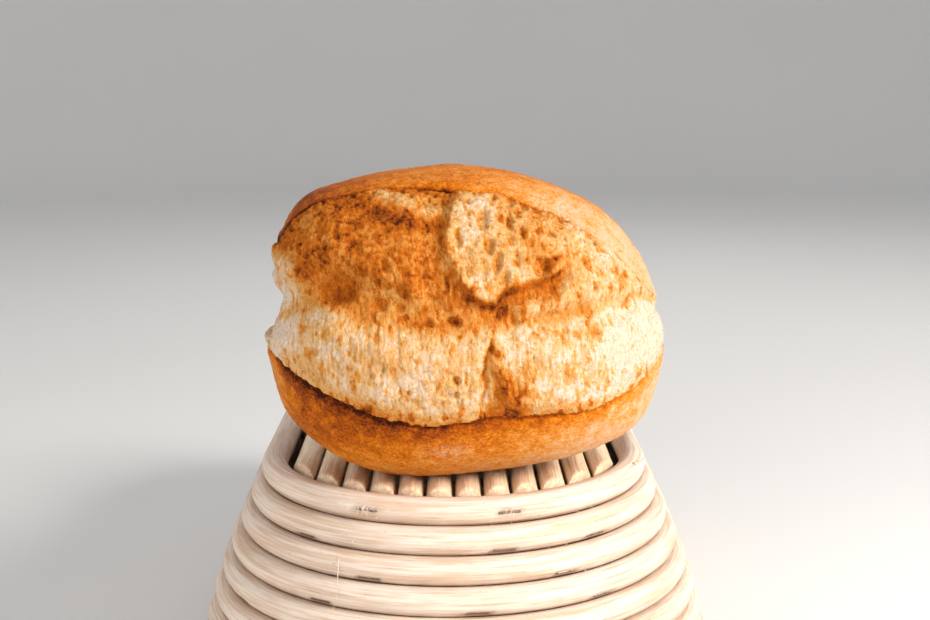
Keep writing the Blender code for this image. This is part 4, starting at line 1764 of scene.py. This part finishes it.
@dataclass
class LooseBits:
    """Splinters at the staples, one stray fibre and specks of flour on the wall."""

    wall: CoiledWall

    def point(self, turn: int, degrees: float, out: float, rim: float) -> Points:
        """A place by a turn of the front end.

        Args:
            turn: which turn.
            degrees: angle round the end from the front.
            out: millimetres outwards from the turn's middle.
            rim: millimetres towards the rim.

        Returns:
            The place.
        """
        where = (np.array([1]), np.array([0.5 - degrees / 180]), np.array([(turn - 1) * self.wall.pitch]))
        middles, outs, rims = self.wall.stations(*where)
        return middles[0] + (outs[0] * out + rims[0] * rim) * MM

    @staticmethod
    def strand(path: Points, thick: float, sides: int = 5) -> tuple[Points, list[Face]]:
        """A tapered fibre.

        Args:
            path: places that it passes.
            thick: half thickness at its root in metres.
            sides: how many sides it has.

        Returns:
            Its points and faces.
        """
        steps = np.linspace(0, len(path) - 1, 5 * len(path))
        smoothed = np.stack([np.interp(steps, range(len(path)), path[:, k]) for k in range(3)], axis=1)
        for _ in range(3):
            smoothed[1:-1] = (smoothed[:-2] + 2 * smoothed[1:-1] + smoothed[2:]) / 4
        ahead = np.gradient(smoothed, axis=0)
        ahead /= np.linalg.norm(ahead, axis=1)[:, None]
        first = np.cross(ahead, [0.3, 0.2, 0.93])
        first /= np.linalg.norm(first, axis=1)[:, None]
        second = np.cross(ahead, first)
        angle = ring_angles(sides)
        reach = thick * np.linspace(1.0, 0.25, len(steps))
        ring = first[:, None] * np.cos(angle)[None, :, None] + second[:, None] * np.sin(angle)[None, :, None]
        points = (smoothed[:, None] + ring * reach[:, None, None]).reshape(-1, 3)
        faces = ring_faces(len(steps), sides, turned=True)
        faces += [tuple(reversed(range(sides))), tuple(range(len(points) - sides, len(points)))]
        return points, faces

    @staticmethod
    def joined(name: str, parts: Sequence[tuple[Points, list[Face]]]) -> bpy.types.Object:
        """Several shapes as one piece in the cane's colour.

        Args:
            name: the piece's name.
            parts: points and faces of each.

        Returns:
            The piece.
        """
        faces: list[Face] = []
        start = 0
        for points, sides in parts:
            faces += [tuple(start + k for k in face) for face in sides]
            start += len(points)
        places = np.vstack([points for points, _ in parts])
        made = Builder.piece(name, places, faces, "cane")
        Builder.paint(made, "grain", places)
        Builder.paint(made, "shade", np.zeros(len(places)))
        return made

    def tuft(self, name: str, turn: int, degrees: float, count: int, spread: float) -> bpy.types.Object:
        """Torn fibres round a staple.

        Args:
            name: the piece's name.
            turn: which turn it is on.
            degrees: angle round the end from the front.
            count: how many fibres.
            spread: how far round they spread, in degrees.

        Returns:
            The piece.
        """
        strands = []
        for k in range(count):
            a, b, c, d = (Noise.hashed(np.array([[k, turn, j]]), 300 + count)[0] for j in range(4))
            start = degrees + spread * (a - 0.5)
            path = [
                self.point(turn, start, 3.7, 0.5 * b),
                self.point(turn, start + 1.1 * (b - 0.5), 4.2 + 0.5 * c, 1.0 + 0.8 * d),
                self.point(turn, start + 2.4 * (c - 0.5), 3.9 + 0.5 * a, 1.7 + 1.7 * b),
            ]
            strands.append(self.strand(np.array(path), FIBRE + 0.00007 * d))
        return self.joined(name, strands)

    @staticmethod
    def speck(middle: Points, seed: int, rings: int = 5, sides: int = 7) -> tuple[Points, list[Face]]:
        """An uneven little ball.

        Args:
            middle: where it is.
            seed: what makes its lumps its own.
            rings: how many steps from pole to pole.
            sides: how many sides it has.

        Returns:
            Its points and faces.
        """
        points = []
        for tilt in np.arange(rings + 1) * math.pi / rings:
            for angle in ring_angles(sides):
                way = np.array([math.sin(tilt) * math.cos(angle), math.sin(tilt) * math.sin(angle), math.cos(tilt)])
                points.append(middle + way * SPECK_SIZE * (1 + 0.5 * Noise.soft(way[None], 0.8, seed)[0]))
        return np.array(points), ring_faces(rings + 1, sides)

    def specks(self) -> bpy.types.Object:
        """Specks of flour caught on the wall."""
        parts = []
        for number, (turn, degrees, rim) in enumerate(SPECKS):
            middle = self.point(turn, degrees, math.sqrt(SPECK_REACH**2 - rim**2), rim)
            parts.append(self.speck(middle, 320 + number))
        return self.joined("flour_specks", parts)

    def build(self) -> list[bpy.types.Object]:
        """Make all the loose bits.

        Returns:
            The pieces.
        """
        stray = ((3, -29, 3.9, -1.0), (3, -28, 4.6, 3.5), (4, -27, 4.6, 1.5), (5, -28.5, 3.9, -1.0))
        splinter = ((1, 68, 3.6, -2.0), (1, 71, 4.6, -1.2), (1, 73, 5.9, -1.8))
        return [
            self.tuft("tuft_left", 1, -24, 14, 5.0),
            self.tuft("tuft_right", 1, 15, 4, 4.0),
            self.single("stray_fibre", stray, 0.00014),
            self.single("splinter", splinter, 0.00055),
            self.specks(),
        ]

    def single(self, name: str, route: Sequence[tuple[int, float, float, float]], thick: float) -> bpy.types.Object:
        """One strand as a piece.

        Args:
            name: the piece's name.
            route: turn, angle, millimetres outwards and millimetres towards the rim of each place it passes.
            thick: half thickness at its root in metres.

        Returns:
            The piece.
        """
        return self.joined(name, [self.strand(np.array([self.point(*place) for place in route]), thick)])


# ---- studio ------------------------------------------------------------------------------------


@dataclass(frozen=True)
class Lamp:
    """A soft square light: where it stands, its side in metres, its power in watts and its colour."""

    name: str
    place: Place
    size: float
    power: float
    color: Color

    def build(self, aim: Place) -> None:
        """Make the light, pointed at a place."""
        light = bpy.data.lights.new(self.name, "AREA")
        light.size = self.size
        light.energy = self.power
        light.color = self.color
        made = bpy.data.objects.new(self.name, light)
        made.location = self.place
        made.rotation_euler = (Vector(aim) - Vector(self.place)).to_track_quat("-Z", "Y").to_euler()
        bpy.context.scene.collection.objects.link(made)


@dataclass
class Studio:
    """Pale sweep, soft lights and the camera."""

    lens: float = 54.2
    sensor: float = 36.0
    distance: float = 0.4187
    above_first_turn: float = 0.1161
    sideways: float = 0.0003
    heading: float = math.radians(-0.49)
    pitch: float = math.radians(9.51)
    roll: float = math.radians(-0.46)
    nearest: float = 0.01
    floor_reach: float = 1.9
    floor_bend: float = 1.3
    floor_sides: int = 72
    aim: Place = (0.0, -0.06, 0.10)
    lamps: tuple[Lamp, ...] = (
        Lamp("key", (0.85, -0.55, 0.55), 0.35, 16.0, (1.0, 0.96, 0.90)),
        Lamp("fill", (-0.5, -1.15, 0.32), 0.8, 8.5, (1.0, 0.97, 0.94)),
        Lamp("back", (0.2, 0.9, 0.9), 0.6, 2.0, (1.0, 0.97, 0.92)),
    )
    sky: tuple[float, float, float, float] = (0.95, 0.97, 1.0, 1.0)
    sky_strength: float = 0.5

    def build(self, wall: CoiledWall) -> None:
        """Make the studio.

        Args:
            wall: the wall that the camera is set out from.
        """
        self.floor()
        self.lights()
        self.camera(wall)

    def floor(self) -> None:
        """A round floor that curves up into a wall all the way round."""
        reach, bend, sides = self.floor_reach, self.floor_bend, self.floor_sides
        tilts = np.linspace(0.0, math.pi / 2, 14)
        profile = [(reach + bend * math.sin(tilt), bend - bend * math.cos(tilt)) for tilt in tilts]
        profile.append((reach + bend, 2 * bend))
        points = [(0.0, 0.0, 0.0)]
        for out, height in profile:
            points += [(out * math.cos(a), out * math.sin(a), height) for a in ring_angles(sides)]
        faces = [(0, 1 + k, 1 + (k + 1) % sides) for k in range(sides)] + ring_faces(len(profile), sides, 1)
        mesh = bpy.data.meshes.new("studio_floor")
        mesh.from_pydata(points, [], faces)
        mesh.shade_smooth()
        floor = bpy.data.objects.new("studio_floor", mesh)
        bpy.context.scene.collection.objects.link(floor)
        floor.data.materials.append(FloorFinish().make())

    def lights(self) -> None:
        """A warm key from the right, a weak fill from the left, a little from behind and a soft sky."""
        for lamp in self.lamps:
            lamp.build(self.aim)
        world = bpy.data.worlds.new("soft_sky")
        world.use_nodes = True
        sky = world.node_tree.nodes["Background"]
        sky.inputs["Color"].default_value = self.sky
        sky.inputs["Strength"].default_value = self.sky_strength
        bpy.context.scene.world = world
        bpy.context.scene.view_settings.view_transform = "Standard"

    def camera(self, wall: CoiledWall) -> None:
        """A level view at the burst side.

        Args:
            wall: the wall that the camera is set out from.
        """
        data = bpy.data.cameras.new("camera")
        data.lens = self.lens
        data.sensor_width = self.sensor
        data.clip_start = self.nearest
        made = bpy.data.objects.new("camera", data)
        place = Vector(
            (self.sideways, -wall.half_straight - self.distance, wall.first_height + self.above_first_turn)
        )
        turn = Matrix.Rotation(self.heading, 4, "Z") @ Matrix.Rotation(math.pi / 2 - self.pitch, 4, "X")
        made.matrix_world = Matrix.Translation(place) @ turn @ Matrix.Rotation(self.roll, 4, "Z")
        bpy.context.scene.collection.objects.link(made)
        bpy.context.scene.camera = made


# ---- putting it together -----------------------------------------------------------------------


def main() -> None:
    """Build the studio, the basket and the roll, and report each piece."""
    logging.basicConfig(level=logging.INFO, format="%(name)s: %(message)s")
    wall = CoiledWall()
    Studio().build(wall)
    staples = Staples()
    staples.find()
    staples.dress(WireFinish())
    cane = WALL_CANE.make()
    for piece in wall.build(staples) + LooseBits(wall).build():
        Builder.dress(piece, cane)
    rod = ROD_CANE.make()
    for piece in RodBase().build(wall):
        Builder.dress(piece, rod)
    Builder.dress(BreadRoll().build(), BreadFinish().make())


if __name__ == "__main__":
    main()
